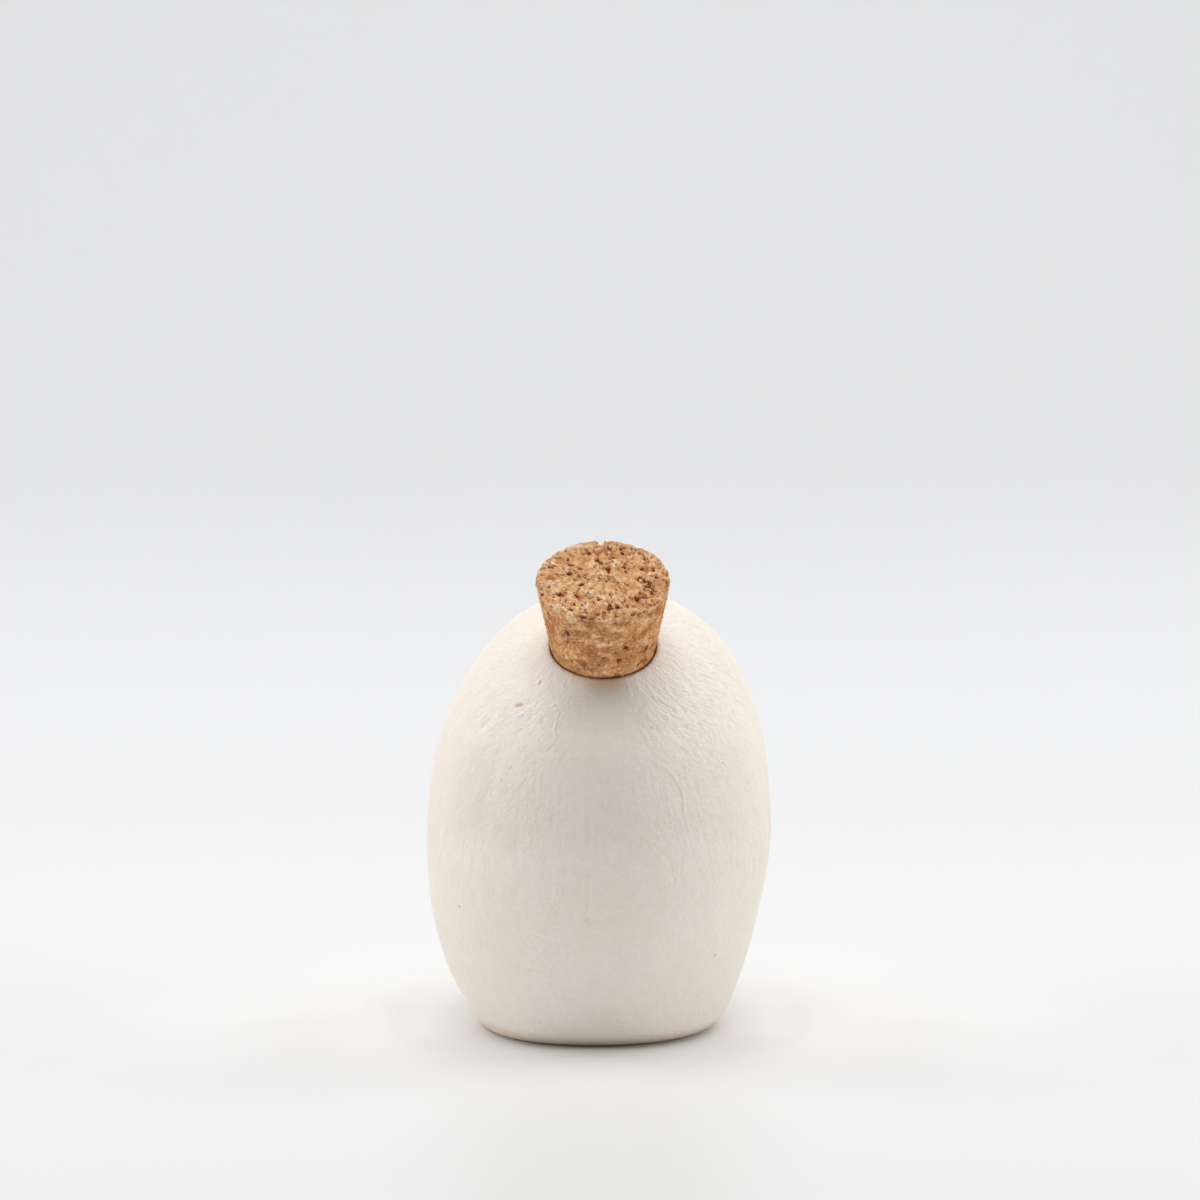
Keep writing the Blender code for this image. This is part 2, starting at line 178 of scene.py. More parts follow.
def skin_distance(points, inset=0.0):
    """Roughly how far points lie outside the skin, or outside a skin this far inside it."""
    x, y, z = points[..., 0] - sway(points[..., 2]), points[..., 1], points[..., 2]
    half_width, behind, front, middle = section(z, inset)
    reach = np.where(y > middle, front + relief(x, z), behind)
    across = np.abs(x / half_width) ** SECTION_ROUNDNESS
    along = np.abs((y - middle) / reach) ** SECTION_ROUNDNESS
    level = ((across + along) ** (1 / SECTION_ROUNDNESS) - 1) * np.minimum(half_width, reach)
    return np.maximum(np.maximum(level, inset - z), z - HEAD_HEIGHT + inset)


# %% [markdown]
# ## The neck
#
# The cork goes in along a line that leans back 31 degrees. The mouth is where that line leaves the
# clay, lifted by a low swelling. A rounded bottle mouth could be a separate ring, but on the real one it
# grows out of the crown, so both will be one skin. Here only the line, its frame and the widths of
# cork and bore are settled.

# %% Neck line and bore
NECK_TILT = math.radians(31)
MOUTH_BEHIND_CROWN, LIP_RISE, LIP_FLARE, LIP_FLARE_BEHIND = 0.0215, 0.0012, 0.0098, 0.0058
CORK_TOP_DIAMETER, CORK_END_DIAMETER, CORK_LENGTH = 0.0187, 0.0124, 0.0185
CORK_SEAT_DEPTH, CORK_CLEARANCE = 0.0070, 0.0003
NECK_ACROSS = np.array([1, 0, 0])
NECK_FRONT = np.array([0, math.cos(NECK_TILT), math.sin(NECK_TILT)])
NECK_UP = np.array([0, -math.sin(NECK_TILT), math.cos(NECK_TILT)])


def crossing(low, high, is_inside, steps=36):
    """Halves the way between values that are inside and values that are outside, for whole arrays."""
    for _ in range(steps):
        half = (low + high) / 2
        inside = is_inside(half)
        low, high = np.where(inside, half, low), np.where(inside, high, half)
    return low


mouth_y = CROWN_FORWARD - MOUTH_BEHIND_CROWN
mouth_z = float(crossing(
    np.array(WIDEST_HEIGHT), np.array(HEAD_HEIGHT),
    lambda z: skin_distance(np.stack([sway(z), 0 * z + mouth_y, z], -1)) < 0,
))
MOUTH = np.array([MOUTH_ASIDE, mouth_y, mouth_z]) + NECK_UP * LIP_RISE
HEART = MOUTH + NECK_UP * MOUTH[1] / math.sin(NECK_TILT)
CORK_SLOPE = (CORK_TOP_DIAMETER - CORK_END_DIAMETER) / 2 / CORK_LENGTH


def cork_radius(height):
    return CORK_END_DIAMETER / 2 + CORK_SLOPE * (height + CORK_SEAT_DEPTH)


def bore_radius(height):
    return cork_radius(height) + CORK_CLEARANCE * math.hypot(1, CORK_SLOPE)


def in_neck(across, front, height):
    """Points of the neck's own frame, in the row frame."""
    sideways = across[..., None] * NECK_ACROSS
    return MOUTH + sideways + front[..., None] * NECK_FRONT + height[..., None] * NECK_UP


print("mouth at", (MOUTH * 1000).round(2), "mm; heart of the head at", (HEART * 1000).round(2), "mm")

# %% [markdown]
# ## Eye sockets and nose
#
# On the real bottle the hollows of the face are pressed into the soft clay, and their rims are rounded
# by a finger. A Boolean cut would leave knife edges. Instead each hollow is a stretched ball with a
# distance of its own, and a soft maximum joins it to the skin: that rounds every rim by a radius that
# can be chosen.

# %% Hollows of the face
RIM_ROUNDING = 0.0016


def soft_maximum(one, other, rounding):
    near = np.maximum(rounding - np.abs(one - other), 0) / rounding
    return np.maximum(one, other) + near * near * rounding / 4


def face_point(x, z):
    half_width, _, front, middle = section(np.array(z), 0)
    share = (1 - abs(x / half_width) ** SECTION_ROUNDNESS) ** (1 / SECTION_ROUNDNESS)
    return np.array([x + sway(z), float(middle + (front + relief(np.array(x), np.array(z))) * share), z])


HOLLOWS = []
for hollow_x, hollow_z, turn, width, depth, tall, taper in (
    (-0.0098, 0.0310, math.radians(-12), 0.0128, 0.0100, 0.0118, 0.0),
    (0.0098, 0.0310, math.radians(12), 0.0128, 0.0100, 0.0118, 0.0),
    (0.0, 0.0202, 0.0, 0.0068, 0.0056, 0.0086, 0.45),
):
    yaw = math.atan2(-hollow_x, BACK_REACH)
    turned = np.array(Matrix.Rotation(yaw, 3, "Z") @ Matrix.Rotation(turn, 3, "Y"))
    HOLLOWS.append((face_point(hollow_x, hollow_z), turned, np.array([width, depth, tall]) / 2, taper))


def hollow_distance(points, hollow, grow):
    centre, turned, half, taper = hollow
    local = (points - centre) @ turned / (half + grow)
    local[..., 0] /= 1 - taper * np.clip(local[..., 2], -1, 1)
    return (np.linalg.norm(local, axis=-1) - 1) * (half.min() + grow)


def clay_distance(points, inset=0.0):
    """The skin with the hollows taken out, and behind each of them a wall as thick as elsewhere."""
    distance = skin_distance(points, inset)
    for hollow in HOLLOWS:
        distance = soft_maximum(distance, -hollow_distance(points, hollow, inset), RIM_ROUNDING)
    return distance


print("hollows at", [(hollow[0] * 1000).round(1).tolist() for hollow in HOLLOWS])

# %% [markdown]
# ## Rows and columns that follow the potter's hand
#
# The maker smoothed the clay outwards from the mouth, over the crown and down to the foot, and the fine
# brush lines run that way. The mesh does the same: its columns start at the mouth and end under the
# base, and its rows are rings round the neck that level out on the way down. One such net makes the lip,
# the skin and the base as one surface, and it also carries a path for the brush marks, which a plain
# globe or a voxel mesh would not.

# %% Net of directions
COLUMNS = 430
ROWS_ABOVE, ROWS_FACE, ROWS_BASE = 58, 86, 13
FURTHEST = 0.06
around = np.arange(COLUMNS) / COLUMNS * math.tau


def way_from_heart(down, turn):
    """Unit directions: down is the angle from the neck line, which swings upright towards the base."""
    upright = np.stack([np.sin(down) * np.cos(turn), np.sin(down) * np.sin(turn), np.cos(down)], -1)
    tilt = NECK_TILT * (1 - smooth_step(down, math.radians(50), math.radians(170)))
    y = upright[..., 1] * np.cos(tilt) - upright[..., 2] * np.sin(tilt)
    z = upright[..., 1] * np.sin(tilt) + upright[..., 2] * np.cos(tilt)
    return np.stack([upright[..., 0], y, z], -1)


def reach_to(way, field):
    """How far the surface of a field is from the heart, in each direction."""
    none = np.zeros(way.shape[:-1])
    return crossing(none, none + FURTHEST, lambda t: field(HEART + way * t[..., None]) < 0)


# %% Lip: rings round the mouth
LIP_GAP, LIP_ROUNDING, LIP_ROWS = 0.00009, 0.00018, 15
EDGE_WAVE, EDGE_CHIP, CHIP_TURN = 0.00005, 0.00013, math.radians(318)
EDGE_STEPS, LIP_CROWDING = 3, 1.15


def crown_depth(across, front):
    """How far the plain skin lies under the mouth's plane at places across the neck."""
    low = np.full(np.shape(across), -HEAD_HEIGHT / 3)
    return crossing(low, low * 0 + LIP_RISE, lambda h: skin_distance(in_neck(across, front, h)) < 0)


def edge_waver():
    """The cut edge of the mouth isn't a true circle: a few waves, and a chip at the lower right."""
    waves = 0.5 * np.sin(5 * around + 1.0) + 0.3 * np.sin(11 * around + 2.2) + 0.2 * np.sin(23 * around)
    return EDGE_WAVE * waves + EDGE_CHIP * bump(around, CHIP_TURN, 0.35)


edge_radius = cork_radius(0) + LIP_GAP + edge_waver()
lip_rows = []
for step in range(EDGE_STEPS):
    bend = math.pi / 2 * step / EDGE_STEPS
    radius = edge_radius + LIP_ROUNDING * (1 - math.cos(bend))
    height = -LIP_ROUNDING * (1 - math.sin(bend))
    lip_rows.append(in_neck(radius * np.cos(around), radius * np.sin(around), height + 0 * around))
edge_end = edge_radius + LIP_ROUNDING
swell_from = crown_depth(edge_end * np.cos(around), edge_end * np.sin(around))
behind = np.minimum(np.sin(around), 0) ** 2
flare = LIP_FLARE + (LIP_FLARE_BEHIND - LIP_FLARE) * behind
for step in range(LIP_ROWS + 1):
    share = (step / LIP_ROWS) ** LIP_CROWDING
    radius = edge_end + flare * share
    across, front = radius * np.cos(around), radius * np.sin(around)
    fade = (1 - share) ** 2 * (1 + 2 * (1 - behind) * share)
    lip_rows.append(in_neck(across, front, crown_depth(across, front) - swell_from * fade))
lip_rows = np.array(lip_rows)
print("lip:", len(lip_rows), "rings of", COLUMNS)

# %% Skin: rings from the lip down to the middle of the base
lip_end = lip_rows[-1] - HEART
start_down = np.arctan2(np.linalg.norm(np.cross(lip_end, NECK_UP), axis=-1), lip_end @ NECK_UP)
FACE_FROM, FACE_TO, BASE_TO = math.radians(92), math.radians(149), math.radians(176)
rings = []
for step in range(1, ROWS_ABOVE + 1):
    rings.append(start_down + (FACE_FROM - start_down) * step / ROWS_ABOVE)
for step in range(1, ROWS_FACE + 1):
    rings.append(0 * around + FACE_FROM + (FACE_TO - FACE_FROM) * step / ROWS_FACE)
for step in range(1, ROWS_BASE + 1):
    rings.append(0 * around + FACE_TO + (BASE_TO - FACE_TO) * step / ROWS_BASE)
down = np.array(rings)
way = way_from_heart(down, around[None, :])
skin_rows = HEART + way * reach_to(way, clay_distance)[..., None]
outer = np.concatenate([lip_rows, skin_rows])
path_length = np.concatenate([
    np.zeros((1, COLUMNS)), np.cumsum(np.linalg.norm(np.diff(outer, axis=0), axis=-1), axis=0),
])
print("skin:", len(outer), "rings, longest way from mouth to base", round(path_length.max() * 1000, 1), "mm")

# %% [markdown]
# ## A hand-made shape
#
# The real head isn't a perfect egg: broad, shallow flats and swellings show where it was pressed and
# smoothed. Sculpting them by hand couldn't be repeated. A seeded smooth noise gives them, and it fades
# out near the mouth, because the cork still has to fit there.

# %% Smooth noise on whole arrays
NOISE_CELLS = 32


def noise(points, seed):
    """Smooth noise from -1 to 1 at points whose unit is one lump."""
    table = np.random.default_rng(seed).uniform(-1, 1, (NOISE_CELLS, NOISE_CELLS, NOISE_CELLS))
    cell = np.floor(points).astype(int)
    part = points - cell
    part = part * part * (3 - 2 * part)
    total = np.zeros(points.shape[:-1])
    for corner in range(8):
        step = np.array([corner & 1, corner >> 1 & 1, corner >> 2 & 1])
        at = (cell + step) % NOISE_CELLS
        weight = np.prod(np.where(step, part, 1 - part), axis=-1)
        total += weight * table[at[..., 0], at[..., 1], at[..., 2]]
    return total


def normals_of(rows):
    """Outward normals of a net of rings that starts at the mouth."""
    along = np.gradient(rows, axis=0)
    round_it = np.roll(rows, -1, axis=1) - np.roll(rows, 1, axis=1)
    normal = np.cross(along, round_it)
    return normal / np.maximum(np.linalg.norm(normal, axis=-1, keepdims=True), 1e-12)


def from_neck_line(points):
    """Distance from the neck's line."""
    return np.linalg.norm(np.cross(points - MOUTH, NECK_UP), axis=-1)


# %% Press and smooth the head
# How far the hand moved the clay, and over what width
SWELLING, SWELLING_WIDTH = 0.00016, 0.013
DIMPLE, DIMPLE_WIDTH = 0.00008, 0.0055
LEFT_FOOT_WORN, FOOT_HOLLOW = 0.0009, 0.00025


def pressed(points):
    """Swellings and flats left by the hand, in metres along the normal."""
    x, z = points[..., 0], points[..., 2]
    broad = SWELLING * noise(points / SWELLING_WIDTH, 3) + DIMPLE * noise(points / DIMPLE_WIDTH, 4)
    quiet = smooth_step(z, 0.0005, 0.004) * smooth_step(from_neck_line(points), 0.0080, 0.0120)
    left_foot = LEFT_FOOT_WORN * smooth_step(-x, 0.0090, 0.0170) * bump(z, 0.0026, 0.0033)
    return broad * quiet - left_foot * smooth_step(z, 0, 0.0010)


outward = normals_of(outer)
print("normals point out:", bool((np.sum(outward[40:100] * (outer[40:100] - HEART), -1) > 0).all()))
formed = outer + outward * pressed(outer)[..., None]
hollow_foot = FOOT_HOLLOW * smooth_step(np.hypot(outer[..., 0], outer[..., 1]), 0.0140, 0.0100)
formed[..., 2] = np.maximum(formed[..., 2], 0) + hollow_foot * (outer[..., 2] < 1e-5)

# %% [markdown]
# ## The inside
#
# Pull the cork and one looks down a short tapered bore into a chamber. Slip casting leaves a wall of
# even thickness, so the chamber is the same egg drawn in by three millimetres. It is seen only through
# the mouth: a net of a fifth of the columns is plenty, joined to the fine one by a ring of wider faces.

# %% Bore and chamber
INNER_EVERY = 5
CHAMBER_ROWS = 30
BORE_ROWS = 5
BORE_SHORTEST, BORE_LONGEST = 0.0005, 0.0200
CHAMBER_END = math.pi - 0.02
inner_around = around[::INNER_EVERY]


def in_bore(height):
    widening = (bore_radius(0) - cork_radius(0) - LIP_GAP) * smooth_step(height, 0, -0.003)
    radius = cork_radius(height) + LIP_GAP + widening
    return in_neck(radius * np.cos(inner_around), radius * np.sin(inner_around), height)


def chamber_distance(points):
    return clay_distance(points, WALL)


bore_end = -crossing(
    0 * inner_around + BORE_SHORTEST, 0 * inner_around + BORE_LONGEST,
    lambda deep: chamber_distance(in_bore(-deep)) > 0,
)
inner_rows = []
for step in range(1, BORE_ROWS + 1):
    inner_rows.append(in_bore(-LIP_ROUNDING + (bore_end + LIP_ROUNDING) * step / BORE_ROWS))
bore_end_from_heart = inner_rows[-1] - HEART
inner_start = np.arctan2(
    np.linalg.norm(np.cross(bore_end_from_heart, NECK_UP), axis=-1), bore_end_from_heart @ NECK_UP,
)
inner_down = np.array([
    inner_start + (CHAMBER_END - inner_start) * step / CHAMBER_ROWS for step in range(1, CHAMBER_ROWS + 1)
])
inner_way = way_from_heart(inner_down, inner_around[None, :])
inner_rows = np.concatenate([
    np.array(inner_rows), HEART + inner_way * reach_to(inner_way, chamber_distance)[..., None],
])
bore_ends = np.array([bore_end.min(), bore_end.max()]) * 1000
print("bore ends", bore_ends.round(2), "mm under the mouth")

# %% Join outside, bore and chamber into one closed mesh
# The strokes leave the mouth slanting outwards: how far they turn, in radians of the way round.
STROKE_SWEEP = 0.40


def build_shell():
    """Points and faces of the vessel, and the brush's path there: way round, and way from the mouth.

    The path starts at the mouth's edge. Inside the bottle it is negative.
    """
    outer_count, inner_count = formed.shape[0], inner_rows.shape[0]
    inner_columns = COLUMNS // INNER_EVERY
    points = np.concatenate([formed.reshape(-1, 3), inner_rows.reshape(-1, 3)])
    first_inner = outer_count * COLUMNS
    faces = []
    for row in range(outer_count - 1):
        here = row * COLUMNS
        for column in range(COLUMNS):
            after = (column + 1) % COLUMNS
            faces.append((here + column, here + COLUMNS + column, here + COLUMNS + after, here + after))
    last = (outer_count - 1) * COLUMNS
    faces.append(tuple(last + column for column in range(COLUMNS)))
    for column in range(inner_columns):
        after = (column + 1) % inner_columns
        fine = [(column * INNER_EVERY + part) % COLUMNS for part in range(INNER_EVERY + 1)]
        faces.append((*fine, first_inner + after, first_inner + column))
        for row in range(inner_count - 1):
            here = first_inner + row * inner_columns
            below = here + inner_columns
            faces.append((here + column, here + after, below + after, below + column))
    deepest = first_inner + (inner_count - 1) * inner_columns
    faces.append(tuple(deepest + column for column in reversed(range(inner_columns))))
    turned = around - STROKE_SWEEP * smooth_step(path_length, 0, 0.0140) * np.cos(around)
    path = np.stack([np.cos(turned), np.sin(turned), path_length], -1).reshape(-1, 3)
    inner_turned = np.broadcast_to(inner_around, inner_rows.shape[:2])
    below_mouth = (inner_rows - MOUTH) @ NECK_UP
    inner_path = np.stack([np.cos(inner_turned), np.sin(inner_turned), below_mouth], -1).reshape(-1, 3)
    return points, faces, np.concatenate([path, inner_path])


shell_points, shell_faces, shell_path = build_shell()
skull_mesh = bpy.data.meshes.new("bisque_skull")
skull_mesh.from_pydata(shell_points.tolist(), [], shell_faces)
keep_on_points(skull_mesh, "stroke_path", shell_path)
print("shell:", len(skull_mesh.vertices), "points,", len(skull_mesh.polygons), "faces")

# %% [markdown]
# ## Finer clay where there are marks
#
# The real clay has a few pits, a finger dent, short scratches, and a carved face. They are smaller than
# a face of the net. Making the whole net finer would waste most of it, so only the faces round each mark
# and over the teeth are divided. A mark is placed by the pixel where it shows: a ray from the camera
# finds its spot on the clay, so it sits on the surface from every side.

# %% Marks that show, placed by pixel
MM = 0.001
# Pits: column and row, half length and half width in mm, slope in degrees, depth in mm
PITS = (
    (519.0, 705.0, 0.80, 0.30, 8, 0.26), (540.0, 682.5, 0.30, 0.19, 52, 0.22),
    (486.5, 723.0, 1.05, 0.42, 40, 0.22), (481.0, 719.0, 1.40, 0.55, 38, -0.10),
    (699.8, 723.5, 0.16, 0.15, 30, 0.26), (715.0, 955.5, 0.17, 0.15, 0, 0.36),
    (501.5, 780.5, 0.18, 0.14, 60, 0.14), (510.0, 768.5, 0.17, 0.13, 60, 0.12),
    (587.0, 920.0, 0.32, 0.15, 45, 0.12), (459.5, 906.5, 0.16, 0.16, 0, 0.18),
    (752.8, 860.0, 0.20, 0.13, 60, 0.12), (477.0, 873.0, 0.22, 0.16, 30, 0.10),
    (545.0, 649.0, 0.18, 0.15, 20, 0.16), (669.5, 666.5, 0.40, 0.13, -5, 0.08),
    (723.0, 763.5, 0.18, 0.14, 70, 0.14), (704.0, 792.0, 0.25, 0.14, 80, 0.10),
    (508.5, 640.0, 0.40, 0.12, 25, 0.07), (589.0, 700.0, 0.22, 0.16, 30, 0.10),
    (462.0, 850.0, 0.20, 0.14, 80, 0.08), (541.0, 1022.0, 0.45, 0.12, -60, 0.09),
    (617.0, 1020.0, 0.35, 0.14, 40, 0.09), (663.0, 980.0, 0.15, 0.13, 0, 0.10),
)
# Scratches and strokes: the pixels along each, half width and depth in mm. Below nothing, it stands out.
SCRATCHES = (
    (((566, 707), (558, 716)), 0.12, 0.050), (((559, 713), (554, 729), (556, 739), (545, 751)), 0.13, -0.085),
    (((583, 690), (570, 704)), 0.12, 0.030), (((536, 726), (527, 742), (521, 760)), 0.12, 0.030),
    (((705, 663.5), (715, 657)), 0.10, 0.050), (((708, 655), (718, 662.5)), 0.10, 0.045),
    (((640, 686), (650, 696), (659, 707)), 0.13, 0.040), (((652, 689), (664, 699), (673, 707)), 0.13, 0.035),
    (((634, 700), (643, 711), (649, 721)), 0.12, 0.025), (((668, 697), (680, 706), (688, 714)), 0.12, 0.030),
    (((668, 722), (677, 733), (682, 742)), 0.12, -0.025), (((688, 713), (698, 724), (705, 733)), 0.12, 0.028),
    (((676, 741), (688, 752), (696, 762)), 0.12, -0.030), (((694, 742), (703, 755), (708, 768)), 0.13, 0.030),
    (((706, 741), (715, 750), (721, 761)), 0.12, 0.028), (((716, 755), (725, 770), (729, 785)), 0.12, -0.022),
    (((666, 768), (676, 780), (683, 795), (684, 812), (689, 833)), 0.14, -0.080),
    (((678, 772), (680, 796)), 0.12, 0.035), (((697, 790), (703, 815), (704, 845)), 0.13, 0.022),
    (((711, 800), (716, 830), (716, 862)), 0.12, -0.030), (((691, 845), (694, 875), (693, 905)), 0.12, 0.030),
    (((608, 770), (607, 800)), 0.12, 0.025), (((640, 722), (652, 741)), 0.12, 0.030),
    (((655, 1000), (657, 1030)), 0.12, 0.030), (((664, 985), (665, 1020)), 0.12, -0.030),
    (((500, 712), (487, 735), (470, 765), (455, 800)), 1.30, -0.120),
    (((518, 733), (500, 758), (489, 790), (484, 830)), 1.30, 0.110),
    (((663, 745), (668, 790), (668, 850)), 1.10, -0.045),
)

# %% Find each mark on the clay
from mathutils.bvhtree import BVHTree

PIXELS_AHEAD = 2
skull_shape = bmesh.new()
skull_shape.from_mesh(skull_mesh)
skin_tree = BVHTree.FromBMesh(skull_shape)


def seen_at(column, row):
    """The point of the clay that shows at a pixel, and its normal."""
    place, normal, _, _ = skin_tree.ray_cast(Vector(camera_place), Vector(ray_through(column, row)))
    return np.array(place), np.array(normal)


def pit_frame(column, row, slope):
    """Where a mark lies, and its long, short and outward directions."""
    place, normal = seen_at(column, row)
    slope = math.radians(slope)
    ahead, _ = seen_at(column + PIXELS_AHEAD * math.cos(slope), row - PIXELS_AHEAD * math.sin(slope))
    along = (ahead - place) / np.linalg.norm(ahead - place)
    return place, along, np.cross(normal, along), normal


pit_frames = [pit_frame(pit[0], pit[1], pit[4]) for pit in PITS]
scratch_lines = [np.array([seen_at(*pixel)[0] for pixel in path]) for path, _, _ in SCRATCHES]
print("first pit at", (pit_frames[0][0] * 1000).round(1), "mm")

# %% Divide the faces round the marks and over the teeth
# Half width, foot and top of the teeth's box
TEETH_BOX, NEAR_SKIN = (0.0120, 0.0036, 0.0142), 0.0015
# A pit's faces are divided this many half lengths round it, and this many mm more. Broad strokes need none.
PIT_REACH, PIT_MARGIN, SCRATCH_REACH, BROAD_STROKE = 1.6, 0.35, 0.0006, 1.0


def near_line(points, line):
    """Distance of points from a line of several straight pieces."""
    best = np.full(points.shape[:-1], 1.0)
    for start, end in zip(line[:-1], line[1:]):
        share = np.clip((points - start) @ (end - start) / ((end - start) @ (end - start)), 0, 1)
        best = np.minimum(best, np.linalg.norm(points - start - share[..., None] * (end - start), axis=-1))
    return best


def number_items():
    for items in (skull_shape.verts, skull_shape.edges, skull_shape.faces):
        items.index_update()


def divide(is_chosen, cuts):
    centres = np.array([face.calc_center_median() for face in skull_shape.faces])
    chosen = is_chosen(centres)
    edges = {edge for face in skull_shape.faces if chosen[face.index] for edge in face.edges}
    edges = sorted(edges, key=lambda edge: edge.index)
    bmesh.ops.subdivide_edges(skull_shape, edges=edges, cuts=cuts, use_grid_fill=True)
    number_items()


def near_marks(centres):
    close = np.zeros(len(centres), bool)
    for pit, (place, _, _, _) in zip(PITS, pit_frames):
        close |= np.linalg.norm(centres - place, axis=-1) < (pit[2] * PIT_REACH + PIT_MARGIN) * MM
    for (_, width, _), line in zip(SCRATCHES, scratch_lines):
        if width < BROAD_STROKE:
            close |= near_line(centres, line) < SCRATCH_REACH
    return close


def on_teeth(centres):
    half, foot, top = TEETH_BOX
    x, y, z = centres.T
    outside = np.abs(clay_distance(centres)) < NEAR_SKIN
    return (np.abs(x) < half) & (y > 0) & (z > foot) & (z < top) & outside


number_items()
divide(near_marks, 2)
divide(on_teeth, 1)
skull_shape.normal_update()
print("divided:", len(skull_shape.verts), "points")

# %% [markdown]
# ## Carving the clay
#
# Now each point moves along its normal: in for pits, the bite line, the gaps between the teeth, the
# temples and the cheek hollows, out for the arches of the cheeks and the brows. The brush relief is here
# too: short, low scrapes beside the mouth, where the clay was worked hardest, and longer ridges about a
# millimetre apart on the flanks. Sculpting would be quicker once, but no number could change it later.
# Each point keeps two things for the finish: how deep it lies in a small pit, and the brush's path.

# %% Depth of the marks and of the face
PIT_SQUARENESS, MARK_REACH = 1.3, 0.002
TOOTH_COUNT, TOOTH_WIDTH, BITE_HEIGHT = 8, 0.0026, 0.0088
TEETH_FOOT, TEETH_TOP = 0.0048, 0.0132
BITE_DEPTH, GAP_DEPTH, TOOTH_SWELL = 0.00055, 0.00045, 0.00018
TEMPLE_DEPTH, CHEEK_HOLLOW_DEPTH, CHEEK_ARCH_RISE, BROW_RISE = 0.0010, 0.0012, 0.0008, 0.0006


def pit_depth(points, widest=9.0):
    """How far the pits sink the clay, or only those up to this half width in mm."""
    depth = np.zeros(len(points))
    for (_, _, length, width, _, deep), (place, along, aside, normal) in zip(PITS, pit_frames):
        off = points - place
        shape = (off @ along / (length * MM)) ** 2 + (off @ aside / (width * MM)) ** 2
        sunk = deep * MM * np.exp(-shape ** PIT_SQUARENESS) * (np.abs(off @ normal) < MARK_REACH)
        depth += sunk * (width <= widest)
    return depth


def scratch_depth(points):
    """How far the scratches and broad strokes sink the clay."""
    depth = np.zeros(len(points))
    for (_, width, deep), line in zip(SCRATCHES, scratch_lines):
        depth += deep * MM * np.exp(-((near_line(points, line) / (width * MM)) ** 2))
    return depth


def face_depth(points):
    """How far the carving of the face sinks the clay. Below nothing, it stands out."""
    x, y, z = points.T
    x = x - sway(z)
    side = np.abs(x)
    on_face = smooth_step(y, 0.008, 0.016)
    row_end = TOOTH_COUNT * TOOTH_WIDTH / 2
    in_row = smooth_step(side, row_end + 0.0004, row_end - 0.0012)
    upright = smooth_step(z, TEETH_FOOT - 0.0004, TEETH_FOOT + 0.0012)
    upright = upright * smooth_step(z, TEETH_TOP, TEETH_TOP - 0.0016)
    bite = BITE_HEIGHT + 0.0005 * (x / 0.010) ** 2
    depth = BITE_DEPTH * bump(z, bite, 0.00042) * in_row
    across = (x / TOOTH_WIDTH + 0.5) % 1 - 0.5
    depth = np.maximum(depth, GAP_DEPTH * bump(across, 0, 0.125) * in_row * upright)
    depth = depth - TOOTH_SWELL * np.sqrt(np.abs(np.sin(math.pi * x / TOOTH_WIDTH))) * in_row * upright
    temple = TEMPLE_DEPTH * bump(y, 0.0155, 0.0060) * bump(z, 0.0375, 0.0065)
    temple = temple * smooth_step(side, 0.0120, 0.0175)
    under_cheek = CHEEK_HOLLOW_DEPTH * bump(side, 0.0170, 0.0042) * bump(z, 0.0135, 0.0040)
    arch_height = 0.0232 + 0.10 * (0.020 - y)
    arch = CHEEK_ARCH_RISE * bump(z, arch_height, 0.0021) * smooth_step(side, 0.0120, 0.0175)
    arch = arch * smooth_step(y, 0.001, 0.008)
    brow_line = 0.0385 - 0.0022 * ((side - 0.0095) / 0.0080) ** 2
    brow = BROW_RISE * bump(z, brow_line, 0.0014) * bump(side, 0.0095, 0.0065)
    return (depth + under_cheek - brow) * on_face + temple - arch


# %% Brush relief
NOISE_START = 40
COARSE_SCRAPE, FINER_SCRAPE, RIDGE = 0.000060, 0.000045, 0.000022


def stroke_noise(path, per_radian, length, seed):
    """Noise drawn out along the strokes: so many lumps to a radian of the way round, each this long."""
    lumps = np.stack([path[:, 0] * per_radian, path[:, 1] * per_radian, path[:, 2] / length], -1)
    return noise(lumps + NOISE_START, seed)


def brush_relief(points, path):
    """Low ridges along the strokes: short, rough scrapes beside the mouth, long lines on the flanks."""
    aside, line = path[:, 0], path[:, 2]
    scraped = smooth_step(aside, 0.10, 0.55) + 0.65 * smooth_step(-aside, 0.15, 0.60) + 0.15
    scraped = scraped * smooth_step(line, 0.0010, 0.0030) * smooth_step(line, 0.0230, 0.0130)
    coarse, finer = stroke_noise(path, 15, 0.0014, 11), stroke_noise(path, 26, 0.0011, 13)
    scrapes = (COARSE_SCRAPE * coarse + FINER_SCRAPE * finer) * scraped
    fuller = 0.5 + 1.1 * smooth_step(points[:, 0], 0.003, 0.012) * smooth_step(points[:, 1], 0.0, -0.004)
    ridges = RIDGE * stroke_noise(path, 26, 0.0090, 12) * smooth_step(line, 0.0100, 0.0200) * fuller
    return (scrapes + ridges) * (line > 0)


# Nothing is carved this near the mouth's edge or the table.
PLAIN_LIP, PLAIN_FOOT = 0.0004, 0.0008
